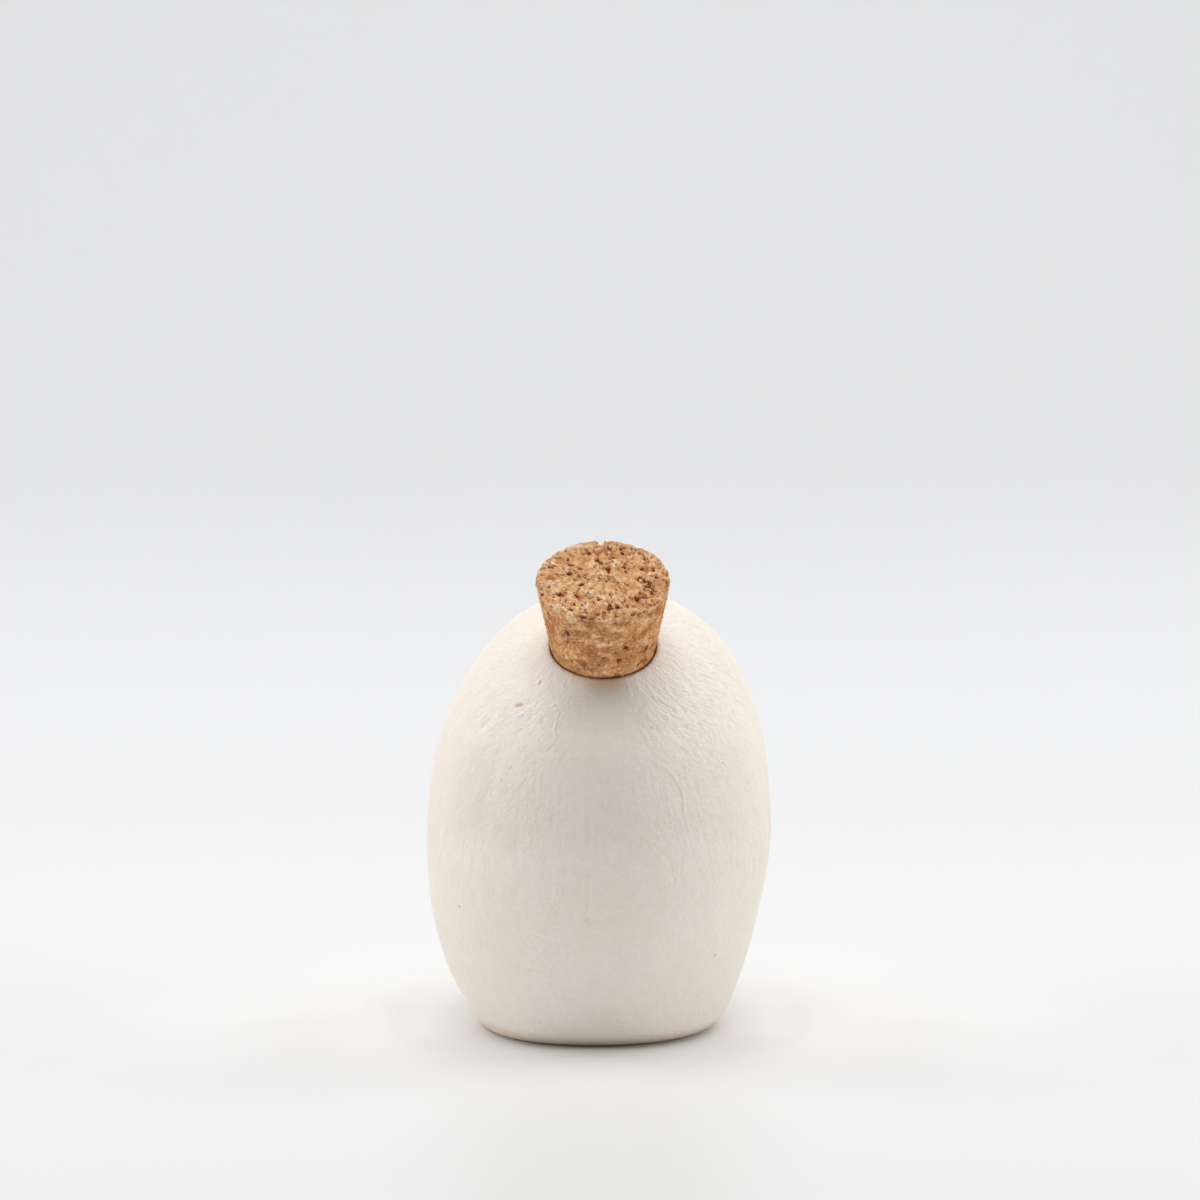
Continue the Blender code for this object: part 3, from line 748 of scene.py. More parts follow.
# Only pits up to this half width in mm are darkened, as dirt and painted shade, from the first depth on,
# and fully this much deeper.
TINTED_WIDTH, TINT_FROM, TINT_SPAN = 0.35, 0.00007, 0.00012
carved_points = np.array([vertex.co for vertex in skull_shape.verts])
carved_normals = np.array([vertex.normal for vertex in skull_shape.verts])
path_layer = skull_shape.verts.layers.float_vector["stroke_path"]
carved_path = np.array([vertex[path_layer] for vertex in skull_shape.verts])
is_outside = (carved_path[:, 2] > PLAIN_LIP) & (carved_points[:, 2] > PLAIN_FOOT)
pits = pit_depth(carved_points) * is_outside
sunk = pits + (scratch_depth(carved_points) + face_depth(carved_points)) * is_outside
sunk = sunk - brush_relief(carved_points, carved_path) * is_outside
moved = carved_points - carved_normals * sunk[:, None]
pit_layer = skull_shape.verts.layers.float.new("pit_dirt_and_shade")
tinted = np.clip((pit_depth(carved_points, TINTED_WIDTH) * is_outside - TINT_FROM) / TINT_SPAN, 0, 1)
for vertex, place, pit in zip(skull_shape.verts, moved, tinted):
    vertex.co = place
    vertex[pit_layer] = pit
skull_shape.to_mesh(skull_mesh)
skull_shape.free()
skull_mesh.shade_smooth()
skull = put_in_scene("bisque_skull", skull_mesh)
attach(skull, "bottle")
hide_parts("skull_body")
print("skull:", triangle_count(skull_mesh), "triangles, size in mm:",
      [round(v * 1000, 1) for v in skull.dimensions])

# %% [markdown]
# ## Small helpers for node trees
#
# Shader trees and geometry trees share many nodes, such as noise, cell patterns and arithmetic. A short
# helper that adds a node, sets its values and links its inputs keeps the trees below readable, and it
# lets one function write the same cork pattern into a geometry tree and into a material.

# %% Add and link nodes
def add(tree, kind, inputs=None, **settings):
    """A node with these settings. An input is a value, or a socket to link to it, by name or number."""
    made = tree.nodes.new(kind)
    for name, value in settings.items():
        setattr(made, name, value)
    for name, value in (inputs or {}).items():
        if isinstance(value, bpy.types.NodeSocket):
            tree.links.new(value, made.inputs[name])
        else:
            made.inputs[name].default_value = value
    return made


def sums(tree, operation, first, second=0.0, clamp=False):
    return add(tree, "ShaderNodeMath", {0: first, 1: second}, operation=operation, use_clamp=clamp).outputs[0]


def chain_of(operation):
    """A function that joins any number of values and sockets by one operation, from left to right."""
    def join(tree, first, *others):
        for other in others:
            first = sums(tree, operation, first, other)
        return first
    return join


times, plus, minus, largest = (chain_of(name) for name in ("MULTIPLY", "ADD", "SUBTRACT", "MAXIMUM"))


def ramp(tree, value, low, high, to_low=0.0, to_high=1.0, soft=True):
    """Maps a value from one range to another, with soft ends."""
    kind = "SMOOTHSTEP" if soft else "LINEAR"
    inputs = {"Value": value, "From Min": low, "From Max": high, "To Min": to_low, "To Max": to_high}
    return add(tree, "ShaderNodeMapRange", inputs, interpolation_type=kind).outputs["Result"]


def vectors(tree, operation, first, second):
    return add(tree, "ShaderNodeVectorMath", {0: first, 1: second}, operation=operation).outputs[0]


def scaled(tree, vector, factor):
    return add(tree, "ShaderNodeVectorMath", {0: vector, "Scale": factor}, operation="SCALE").outputs[0]


def parts_of(tree, vector):
    """The three numbers of a vector or a colour."""
    return add(tree, "ShaderNodeSeparateXYZ", {0: vector}).outputs


def cloudy(tree, place, per_metre, detail=2.0, **inputs):
    """A noise node, so that its value and its colour can both be read."""
    return add(tree, "ShaderNodeTexNoise", {"Vector": place, "Scale": per_metre, "Detail": detail, **inputs})


def band(tree, value, start, full, fade, end):
    """One between full and fade, none before start and after end, with soft flanks."""
    return times(tree, ramp(tree, value, start, full), ramp(tree, value, end, fade))


def placed(tree, group, **inputs):
    """The outputs of a group. Underscores stand for the spaces in its inputs' names."""
    kind = "GeometryNodeGroup" if tree.bl_idname == "GeometryNodeTree" else "ShaderNodeGroup"
    named = {name.replace("_", " "): value for name, value in inputs.items()}
    return add(tree, kind, named, node_tree=group).outputs


FLOAT, VECTOR, COLOUR = "NodeSocketFloat", "NodeSocketVector", "NodeSocketColor"


def new_group(kind, name, inputs, outputs):
    """An empty group with named inputs and outputs, its input node and its output node."""
    tree = bpy.data.node_groups.new(name, kind)
    for label, socket, value in inputs:
        made = tree.interface.new_socket(label, in_out="INPUT", socket_type=socket)
        if value is not None:
            made.default_value = value
    for label, socket in outputs:
        tree.interface.new_socket(label, in_out="OUTPUT", socket_type=socket)
    return tree, tree.nodes.new("NodeGroupInput"), tree.nodes.new("NodeGroupOutput")


# %% [markdown]
# ## The cork's granules
#
# The stopper isn't one piece of bark. It is ground cork, pressed and glued: angular granules a millimetre
# or two across, each with its own brown. Crumbs broke out when the stopper was cut, more of them on the
# end than on the side, and left small torn pits. Cells of a Voronoi pattern are such granules, and
# stretched cells are such pits. The same pattern has to shape the surface and colour it, so one function
# writes it into both kinds of tree, and both read the same stored place.

# %% Write the granule pattern into a tree
GRANULE_SIZE, PIT_SIZE, SMALL_PIT_SIZE, GRANULE_BEND = 0.00150, 0.00080, 0.00046, 0.0007
# Down to the first of these depths under the top the cork is cut end, and from the second on it is side.
END_DEPTH, SIDE_DEPTH = 0.00006, 0.00026


def cells(tree, place, size, feature="F1"):
    inputs = {"Vector": place, "Scale": 1 / size, "Randomness": 1.0}
    return add(tree, "ShaderNodeTexVoronoi", inputs, feature=feature)


def broken_out(tree, place, size, share, soft):
    """Cells of which a share has broken out: one in the holes, none elsewhere."""
    chance = parts_of(tree, cells(tree, place, size).outputs["Color"])[1]
    inside = ramp(tree, cells(tree, place, size, "DISTANCE_TO_EDGE").outputs["Distance"], 0.01, soft)
    return times(tree, sums(tree, "LESS_THAN", chance, share), inside)


def stretched(tree, place, degrees, by):
    """The place turned about the neck line and stretched, so that the cells there are longer one way."""
    place = add(tree, "ShaderNodeVectorRotate", {"Vector": place, "Angle": math.radians(degrees)},
                rotation_type="Z_AXIS").outputs[0]
    return vectors(tree, "MULTIPLY", place, by)


def granule_pattern(tree, place, top):
    """From a place on the cork and how far it is on the cut end: tint, edge and pit of the granule there."""
    bend = cloudy(tree, place, 1500.0, 3.0).outputs["Color"]
    shift = vectors(tree, "SUBTRACT", bend, (0.5, 0.5, 0.5))
    bent = vectors(tree, "ADD", place, scaled(tree, shift, GRANULE_BEND))
    tint = parts_of(tree, cells(tree, bent, GRANULE_SIZE).outputs["Color"])
    edge = cells(tree, bent, GRANULE_SIZE, "DISTANCE_TO_EDGE").outputs["Distance"]
    often = ramp(tree, top, 0.0, 1.0, 0.020, 0.120, soft=False)
    large = broken_out(tree, stretched(tree, bent, 55, (0.85, 1.25, 1.0)), PIT_SIZE, often, 0.07)
    often = ramp(tree, top, 0.0, 1.0, 0.060, 0.170, soft=False)
    small = broken_out(tree, stretched(tree, bent, -30, (1.3, 0.85, 1.0)), SMALL_PIT_SIZE, often, 0.14)
    hole = largest(tree, large, times(tree, small, 0.6))
    return tint[0], tint[1], ramp(tree, edge, 0.0, 0.07), hole


PATTERN_IN = (("Place", VECTOR, None), ("On the end", FLOAT, 0.0))
PATTERN_OUT = (("Tint", FLOAT), ("Grain way", FLOAT), ("Inside", FLOAT), ("Pit", FLOAT))


def pattern_group(kind, name):
    tree, given, result = new_group(kind, name, PATTERN_IN, PATTERN_OUT)
    for socket, (label, _) in zip(granule_pattern(tree, given.outputs[0], given.outputs[1]), PATTERN_OUT):
        tree.links.new(socket, result.inputs[label])
    return tree


granule_shape_group = pattern_group("GeometryNodeTree", "cork_granules_in_shape")
granule_look_group = pattern_group("ShaderNodeTree", "cork_granules_in_colour")
print("pattern groups:", granule_shape_group.name, granule_look_group.name)

# %% [markdown]
# ## The cork's body
#
# Under the granules the stopper is a turned plug: wider at the top, narrower where it goes into the
# neck, its rims worn round. A lathe profile gives it, with rings close enough for the smallest pit. Each
# point keeps its place in the neck's own frame, so the granules stay put when the surface moves.

# %% Turn the plug
PLUG_COLUMNS, PLUG_STEP = 340, 0.00018
PLUG_TOP, PLUG_END = CORK_LENGTH - CORK_SEAT_DEPTH, -CORK_SEAT_DEPTH
TOP_ROUNDING, END_ROUNDING, ROUNDING_STEPS = 0.00020, 0.00050, 4
# Notches and loose flakes of the rim: turn in degrees, then in mm the half width, the way under the top,
# the half height and the depth.
RIM_MARKS = (
    (92, 0.35, 0.00, 0.50, 0.70), (60, 0.50, 0.00, 0.30, 0.30), (128, 0.40, 0.00, 0.35, 0.25),
    (205, 0.45, 1.05, 0.35, -0.38), (186, 0.35, 0.30, 0.30, -0.22), (200, 0.40, 0.00, 0.30, 0.35),
    (335, 0.45, 0.00, 0.40, 0.35), (262, 0.60, 0.00, 0.30, 0.22), (300, 0.35, 0.00, 0.35, 0.30),
    (20, 0.40, 0.10, 0.35, 0.30),
)


def plug_profile():
    """Radius and height from the middle of the top to the middle of the end."""
    corners = [(0.0, PLUG_TOP)]
    top_edge, end_edge = cork_radius(PLUG_TOP) - TOP_ROUNDING, cork_radius(PLUG_END) - END_ROUNDING
    for step in range(ROUNDING_STEPS + 1):
        bend = math.pi / 2 * step / ROUNDING_STEPS
        fallen = TOP_ROUNDING * (1 - math.cos(bend))
        corners.append((top_edge + TOP_ROUNDING * math.sin(bend), PLUG_TOP - fallen))
    for step in range(ROUNDING_STEPS + 1):
        bend = math.pi / 2 * step / ROUNDING_STEPS
        risen = END_ROUNDING * (1 - math.sin(bend))
        corners.append((end_edge + END_ROUNDING * math.cos(bend), PLUG_END + risen))
    corners.append((0.0, PLUG_END))
    line = [corners[0]]
    for start, end in zip(corners[:-1], corners[1:]):
        pieces = max(1, round(math.dist(start, end) / PLUG_STEP))
        way = np.array(end) - start
        line += [tuple(start + way * step / pieces) for step in range(1, pieces + 1)]
    return line


profile = plug_profile()[1:-1]
turn = np.arange(PLUG_COLUMNS) / PLUG_COLUMNS * math.tau
radii = np.array([radius for radius, _ in profile])[:, None]
heights = np.array([height for _, height in profile])[:, None]
plug_place = np.stack([radii * np.cos(turn), radii * np.sin(turn), heights + 0 * turn], -1).reshape(-1, 3)
plug_place = np.concatenate([plug_place, [[0, 0, PLUG_TOP], [0, 0, PLUG_END]]])
plug_faces = []
for ring in range(len(profile) - 1):
    for column in range(PLUG_COLUMNS):
        here, after = ring * PLUG_COLUMNS + column, ring * PLUG_COLUMNS + (column + 1) % PLUG_COLUMNS
        plug_faces.append((here, here + PLUG_COLUMNS, after + PLUG_COLUMNS, after))
last = (len(profile) - 1) * PLUG_COLUMNS
for column in range(PLUG_COLUMNS):
    after = (column + 1) % PLUG_COLUMNS
    plug_faces.append((len(plug_place) - 2, column, after))
    plug_faces.append((len(plug_place) - 1, last + after, last + column))


def marked_rim(place):
    """The plug's points with the notches and flakes of the rim pressed in or drawn out."""
    out = place.copy()
    radius = np.maximum(np.hypot(place[:, 0], place[:, 1]), 1e-9)
    for turned_by, width, under, tall, deep in RIM_MARKS:
        away = np.arctan2(place[:, 1], place[:, 0]) - math.radians(turned_by)
        away = (away + math.pi) % math.tau - math.pi
        share = bump(away * radius, 0, width / 1000) * bump(PLUG_TOP - place[:, 2], under / 1000, tall / 1000)
        share = share * deep / 1000 * bump(radius, cork_radius(PLUG_TOP), 0.0009)
        out[:, :2] -= place[:, :2] / radius[:, None] * share[:, None]
        out[:, 2] -= np.maximum(share, 0) * 0.6
    return out


plug_mesh = bpy.data.meshes.new("plug")
plug_mesh.from_pydata(in_neck(*marked_rim(plug_place).T).tolist(), [], plug_faces)
keep_on_points(plug_mesh, "cork_place", plug_place)
plug = put_in_scene("tapered_cork", plug_mesh)
print("plug:", len(profile), "rings,", len(plug_mesh.polygons), "faces")

# %% [markdown]
# ## Granules, pits and crumbs by Geometry Nodes
#
# Thousands of granules follow one rule, which is what Geometry Nodes are for. The tree lifts each
# granule a little or lets it sink, opens the pits, nicks the rim, and scatters loose crumbs on what
# stands out of the neck. Where the cork sits in the neck nothing may stand proud, so there the relief
# fades. The tree ends in plain geometry with its material, and is then turned into a mesh.

# %% Inputs of the cork's tree
CORK_INPUTS = (
    ("Geometry", "NodeSocketGeometry", None), ("Granule relief", FLOAT, 0.00012),
    ("Pit depth", FLOAT, 0.00048), ("Rim nicks", FLOAT, 0.00030),
    ("Crumbs per square metre", FLOAT, 1.0e6), ("Crumb size", FLOAT, 0.00026),
    ("Top height", FLOAT, PLUG_TOP), ("Seed", "NodeSocketInt", 7), ("Material", "NodeSocketMaterial", None),
)


# %% How far the cork's surface moves
# A granule of this tint, and roughness of this level, neither rise nor sink.
LEVEL_TINT, LEVEL_ROUGH = 0.62, 0.55
SEAM_DEPTH, ROUGH_HEIGHT, DRAWN_IN = 0.00005, 0.00013, 0.00001


def rim_nicks(tree, value, place, below_top):
    """How deep the rim is nicked."""
    nick = cloudy(tree, place, 620.0).outputs["Fac"]
    nick = times(tree, ramp(tree, nick, 0.53, 0.68), value["Rim nicks"])
    flat_place = vectors(tree, "MULTIPLY", place, (1, 1, 0))
    radius = add(tree, "ShaderNodeVectorMath", {0: flat_place}, operation="LENGTH").outputs["Value"]
    on_rim = times(tree, ramp(tree, below_top, 0.0009, 0.0002), ramp(tree, radius, 0.0078, 0.0088))
    return times(tree, nick, on_rim)


def cork_offset(tree, value, place, height):
    """How far each point moves along its normal: granules, glue seams, pits, roughness and nicks."""
    below_top = minus(tree, value["Top height"], height)
    on_end = ramp(tree, below_top, SIDE_DEPTH, END_DEPTH)
    free = times(tree, ramp(tree, height, 0.0003, 0.0014), ramp(tree, on_end, 0.0, 1.0, 0.5, 1.0))
    pattern = placed(tree, granule_shape_group, Place=place, On_the_end=on_end)
    inside = pattern["Inside"]
    lift = times(tree, minus(tree, pattern["Tint"], LEVEL_TINT), value["Granule relief"], inside)
    seam = times(tree, minus(tree, 1.0, inside), SEAM_DEPTH)
    pit = times(tree, pattern["Pit"], value["Pit depth"])
    rough = cloudy(tree, place, 2600.0, 3.0).outputs["Fac"]
    rough = times(tree, minus(tree, rough, LEVEL_ROUGH), ROUGH_HEIGHT)
    proud = plus(tree, lift, rough, -DRAWN_IN)
    proud = minus(tree, proud, seam, pit, rim_nicks(tree, value, place, below_top))
    return times(tree, proud, free)


# %% Loose crumbs
CRUMBS_ABOVE = 0.0012
# Least and most share of the crumb size, in length, width and height
CRUMB_LEAST, CRUMB_MOST = (0.5, 0.35, 0.25), (1.7, 1.1, 0.8)


def crumbs_on(tree, value, shaped, height):
    """Small angular crumbs, spread over what stands out of the neck, each with a tint of its own."""
    above = {0: height, 1: CRUMBS_ABOVE}
    stands_out = add(tree, "FunctionNodeCompare", above, operation="GREATER_THAN").outputs[0]
    scatter = add(tree, "GeometryNodeDistributePointsOnFaces", {
        "Mesh": shaped, "Selection": stands_out, "Density": value["Crumbs per square metre"],
        "Seed": value["Seed"],
    })
    tones = add(tree, "FunctionNodeRandomValue", {2: 0.05, 3: 1.0, "Seed": value["Seed"]}, data_type="FLOAT")
    toned = add(tree, "GeometryNodeStoreNamedAttribute", {
        "Geometry": scatter.outputs[0], "Name": "crumb_tint", "Value": tones.outputs[1],
    }, data_type="FLOAT", domain="POINT").outputs[0]
    crumb = add(tree, "GeometryNodeMeshIcoSphere", {"Radius": 0.5, "Subdivisions": 1}).outputs[0]
    turns = {0: (0.0, 0.0, 0.0), 1: (6.28, 6.28, 6.28)}
    spin = add(tree, "FunctionNodeRandomValue", turns, data_type="FLOAT_VECTOR")
    shares = {0: CRUMB_LEAST, 1: CRUMB_MOST}
    sizes = add(tree, "FunctionNodeRandomValue", shares, data_type="FLOAT_VECTOR")
    crumbs = add(tree, "GeometryNodeInstanceOnPoints", {
        "Points": toned, "Instance": crumb, "Rotation": spin.outputs[0],
        "Scale": scaled(tree, sizes.outputs[0], value["Crumb size"]),
    }).outputs[0]
    crumbs = add(tree, "GeometryNodeRealizeInstances", {"Geometry": crumbs}).outputs[0]
    return add(tree, "GeometryNodeSetShadeSmooth", {"Geometry": crumbs, "Shade Smooth": False}).outputs[0]


# %% Grow the cork's surface
def cork_tree():
    outputs = (("Geometry", "NodeSocketGeometry"),)
    tree, given, result = new_group("GeometryNodeTree", "pressed_cork", CORK_INPUTS, outputs)
    value = given.outputs
    kept = {"Name": "cork_place"}
    place = add(tree, "GeometryNodeInputNamedAttribute", kept, data_type="FLOAT_VECTOR").outputs[0]
    height = parts_of(tree, place)[2]
    normal = add(tree, "GeometryNodeInputNormal").outputs[0]
    offset = scaled(tree, normal, cork_offset(tree, value, place, height))
    moved = {"Geometry": value["Geometry"], "Offset": offset}
    shaped = add(tree, "GeometryNodeSetPosition", moved).outputs[0]
    crumbs = crumbs_on(tree, value, shaped, height)
    shaped = add(tree, "GeometryNodeSetShadeSmooth", {"Geometry": shaped, "Shade Smooth": True}).outputs[0]
    joined = add(tree, "GeometryNodeJoinGeometry")
    tree.links.new(crumbs, joined.inputs[0])
    tree.links.new(shaped, joined.inputs[0])
    whole = add(tree, "GeometryNodeRealizeInstances", {"Geometry": joined.outputs[0]}).outputs[0]
    done = add(tree, "GeometryNodeSetMaterial", {"Geometry": whole, "Material": value["Material"]}).outputs[0]
    tree.links.new(done, result.inputs[0])
    return tree


cork_finish = bpy.data.materials.new("pressed_cork")
cork_finish.use_nodes = True
grow = plug.modifiers.new("pressed cork", "NODES")
grow.node_group = cork_tree()
for item in grow.node_group.interface.items_tree:
    if item.item_type == "SOCKET" and item.in_out == "INPUT" and item.name == "Material":
        grow[item.identifier] = cork_finish


# %% Turn the tree's result into a plain mesh
def as_plain_mesh(thing, name):
    """Replaces an object's mesh and modifiers by what they make."""
    seen = thing.evaluated_get(bpy.context.evaluated_depsgraph_get())
    plain = bpy.data.meshes.new_from_object(seen)
    thing.modifiers.clear()
    thing.data = plain
    plain.name = name
    return plain


cork_mesh = as_plain_mesh(plug, "tapered_cork")
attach(plug, "stopper")
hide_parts("cork_stopper")
print("cork:", triangle_count(cork_mesh), "triangles, size in mm:",
      [round(v * 1000, 1) for v in plug.dimensions], "attributes:", [a.name for a in cork_mesh.attributes])

# %% [markdown]
# ## Finishes: what several materials share
#
# Bare clay, cork and paper are all dry and matt, but none is even. Each has a fine grain and a slow drift
# of colour, and clay and cork have specks. These three effects are node groups with named inputs, built
# once. Every material sets its own scale and strength and keeps its own shader.

# %% Group: fine grain
def grain_group():
    """A fine, cloudy grain, as a value round one half."""
    tree, given, result = new_group("ShaderNodeTree", "fine_grain", (
        ("Place", VECTOR, None), ("Grains per metre", FLOAT, 4000.0), ("Crispness", FLOAT, 0.6),
    ), (("Grain", FLOAT),))
    value = given.outputs
    pattern = cloudy(tree, value["Place"], value["Grains per metre"], 3.0, Roughness=value["Crispness"])
    tree.links.new(pattern.outputs["Fac"], result.inputs["Grain"])
    return tree


# %% Group: drifting tint
def mixed(tree, amount, first, second, kind="MIX"):
    inputs = {"Factor": amount, 6: first, 7: second}
    return add(tree, "ShaderNodeMix", inputs, data_type="RGBA", blend_type=kind).outputs[2]


def dyed(tree, amount, colour, dye):
    """The colour multiplied by another one, as far as the amount says."""
    return mixed(tree, amount, colour, dye, "MULTIPLY")


def drift_group():
    """A colour that drifts slowly towards another one over the surface."""
    tree, given, result = new_group("ShaderNodeTree", "drifting_tint", (
        ("Place", VECTOR, None), ("Clouds per metre", FLOAT, 60.0), ("Colour", COLOUR, None),
        ("Towards", COLOUR, None), ("Share", FLOAT, 0.5),
    ), (("Colour", COLOUR),))
    value = given.outputs
    cloud = cloudy(tree, value["Place"], value["Clouds per metre"]).outputs["Fac"]
    amount = times(tree, ramp(tree, cloud, 0.30, 0.70), value["Share"])
    tree.links.new(mixed(tree, amount, value["Colour"], value["Towards"]), result.inputs["Colour"])
    return tree


# %% Group: specks
def specks_group():
    """Sparse round specks: one where a specked spot is, none elsewhere."""
    tree, given, result = new_group("ShaderNodeTree", "specks", (
        ("Place", VECTOR, None), ("Spots per metre", FLOAT, 400.0), ("Share", FLOAT, 0.1),
        ("Size", FLOAT, 0.3),
    ), (("Speck", FLOAT),))
    value = given.outputs
    spots = {"Vector": value["Place"], "Scale": value["Spots per metre"]}
    spot = add(tree, "ShaderNodeTexVoronoi", spots).outputs
    chosen = sums(tree, "LESS_THAN", parts_of(tree, spot["Color"])[0], value["Share"])
    off = sums(tree, "DIVIDE", spot["Distance"], value["Size"])
    soft = sums(tree, "SUBTRACT", 1.0, off, clamp=True)
    tree.links.new(times(tree, chosen, ramp(tree, soft, 0.0, 0.5)), result.inputs["Speck"])
    return tree


GRAIN, DRIFT, SPECKS = grain_group(), drift_group(), specks_group()
print("shared groups:", [group.name for group in (GRAIN, DRIFT, SPECKS)])


# %% Start and end a material
def use(tree, group, **inputs):
    return placed(tree, group, **inputs)[0]


def fresh(finish, roughness, shine=0.25):
    """An empty material tree with a matt shader, and where the surface is."""
    tree = finish.node_tree
    tree.nodes.clear()
    shader = add(tree, "ShaderNodeBsdfPrincipled", {"Roughness": roughness, "Specular IOR Level": shine})
    end = add(tree, "ShaderNodeOutputMaterial")
    tree.links.new(shader.outputs[0], end.inputs["Surface"])
    return tree, shader, add(tree, "ShaderNodeTexCoord").outputs["Object"]


def coat(tree, shader, colour, rough, height=None):
    """Gives the shader its colour and roughness, and a height in metres to bump it by."""
    tree.links.new(colour, shader.inputs["Base Color"])
    tree.links.new(rough, shader.inputs["Roughness"])
    if height is not None:
        raised = add(tree, "ShaderNodeBump", {"Height": height, "Strength": 1.0, "Distance": 1.0})
        tree.links.new(raised.outputs["Normal"], shader.inputs["Normal"])


def stored(tree, name):
    """A value that every point of the mesh keeps."""
    return add(tree, "ShaderNodeAttribute", attribute_name=name).outputs


def colour_steps(tree, value, stops):
    """A colour ramp with these positions and colours."""
    steps = add(tree, "ShaderNodeValToRGB", {"Fac": value})
    for _ in stops[2:]:
        steps.color_ramp.elements.new(0.5)
    for stop, (position, colour) in zip(steps.color_ramp.elements, stops):
        stop.position = position
        stop.color = (*colour, 1)
    return steps.outputs["Color"]


def to_the_eye(tree):
    """One for rays from the camera, and for those that a shiny or a clear surface sends on."""
    ray = add(tree, "ShaderNodeLightPath").outputs
    return largest(tree, ray["Is Camera Ray"], ray["Is Glossy Ray"], ray["Is Transmission Ray"])


# %% [markdown]
# ## Bisque
#
# The body is fired clay without glaze: a warm white, quite matt, smoothed with a damp brush while it was
# soft. The brush left fine lines about four tenths of a millimetre apart, too fine for the mesh: short
# scrapes round the mouth, and long ones down to the foot. They are noise along the stored brush path,
# stretched along the strokes, and feed a bump in real metres. A sprayed plaster look would have no
# direction and look like plastic.
#
# Painted light and shade are here too. A brown band on the lip and down the bore is painted shade in the
# gap round the cork, and below the mouth, where the cork leans over the clay, painted shade darkens the
# clay, warmer and deeper close to the lip. Beside the mouth the clay is painted paler as light, the middle
# of the back is painted darker as shade, and towards the table the foot is painted darker and warmer as
# shade. The small pits are darkened, partly as dirt and partly as painted shade.

# %% Group: brush lines
LINES_BEGIN, LINES_END = 0.006, 0.008


def brush_group():
    """Lines along a path that is kept as cosine and sine of the way round, and the distance travelled."""
    tree, given, result = new_group("ShaderNodeTree", "brush_lines", (
        ("Path", VECTOR, None), ("Lines per turn", FLOAT, 300.0), ("Line length", FLOAT, 0.006),
        ("From", FLOAT, 0.0), ("To", FLOAT, 0.1),
    ), (("Height", FLOAT),))
    value = given.outputs
    apart = sums(tree, "DIVIDE", value["Lines per turn"], math.tau)
    along = sums(tree, "DIVIDE", 1.0, value["Line length"])
    stretch = add(tree, "ShaderNodeCombineXYZ", {0: apart, 1: apart, 2: along}).outputs[0]
    place = vectors(tree, "MULTIPLY", value["Path"], stretch)
    lines = cloudy(tree, place, 1.0, Distortion=0.4).outputs["Fac"]
    travelled = parts_of(tree, value["Path"])[2]
    begins = ramp(tree, travelled, value["From"], plus(tree, value["From"], LINES_BEGIN))
    ends = ramp(tree, travelled, value["To"], plus(tree, value["To"], LINES_END), 1.0, 0.0)
    tree.links.new(times(tree, minus(tree, lines, 0.5), begins, ends), result.inputs["Height"])
    return tree


BRUSH = brush_group()

# %% Bisque: brush lines, lumps, grain and pores
LINE_HEIGHTS = (0.000210, 0.000065, 0.000024)
GRAIN_HEIGHT, LUMP_HEIGHT, PORE_DEPTH = 0.000050, 0.000180, 0.000030
bisque = bpy.data.materials.new("bisque")
bisque.use_nodes = True
tree, shader, place = fresh(bisque, 0.85)
wander = vectors(tree, "SUBTRACT", cloudy(tree, place, 90.0, 1.0).outputs["Color"], (0.5, 0.5, 0.5))
path = stored(tree, "stroke_path")["Vector"]
path = vectors(tree, "ADD", path, vectors(tree, "MULTIPLY", wander, (0.10, 0.10, 0.0)))
way_aside, way_front, travelled = parts_of(tree, path)
near_lines = use(tree, BRUSH, Path=path, Lines_per_turn=135.0, Line_length=0.0012, From=-0.003, To=0.013)
mid_lines = use(tree, BRUSH, Path=path, Lines_per_turn=300.0, Line_length=0.0050, From=0.012, To=0.034)
far_lines = use(tree, BRUSH, Path=path, Lines_per_turn=430.0, Line_length=0.0110, From=0.026, To=0.200)
beside = ramp(tree, sums(tree, "ABSOLUTE", way_aside), 0.10, 0.55, 0.25, 1.0)
beside = plus(tree, beside, ramp(tree, way_aside, 0.15, 0.55, 0.0, 0.75))
near_lines = times(tree, near_lines, beside)
grain = use(tree, GRAIN, Place=place, Grains_per_metre=3600.0, Crispness=0.60)
lumps = use(tree, GRAIN, Place=place, Grains_per_metre=1350.0, Crispness=0.50)
pores = use(tree, SPECKS, Place=place, Spots_per_metre=420.0, Share=0.035, Size=0.15)
raised = [times(tree, *pair) for pair in zip((near_lines, mid_lines, far_lines), LINE_HEIGHTS)]
raised += [times(tree, grain, GRAIN_HEIGHT), times(tree, lumps, LUMP_HEIGHT)]
clay_height = minus(tree, plus(tree, *raised), times(tree, pores, PORE_DEPTH))
print("bisque relief:", len(tree.nodes), "nodes")

# %% Bisque: colour
BISQUE, BISQUE_WARM, BISQUE_DEEP = (0.832, 0.770, 0.704, 1), (0.810, 0.735, 0.659, 1), (0.60, 0.40, 0.25, 1)
IN_LINES, IN_GRAIN, IN_CLOUDS = (0.972, 0.958, 0.946, 1), (0.970, 0.963, 0.957, 1), (0.972, 0.966, 0.960, 1)
PAINTED_LIP_GAP_SHADE, CORK_SHADE, WARM_SHADE_UNDER_CORK = (0.74, 0.56, 0.43, 1), (0.70, 0.655, 0.61, 1), (0.98, 0.80, 0.64, 1)
PAINTED_LIGHT_BESIDE_MOUTH, PAINTED_SHADE_MID_BACK, PAINTED_FOOT_SHADE = (1.08, 1.075, 1.07, 1), (0.93, 0.925, 0.92, 1), (0.90, 0.82, 0.73, 1)
colour = use(tree, DRIFT, Place=place, Clouds_per_metre=75.0, Colour=BISQUE, Towards=BISQUE_WARM, Share=0.6)
colour = dyed(tree, ramp(tree, plus(tree, near_lines, mid_lines), 0.02, -0.22), colour, IN_LINES)
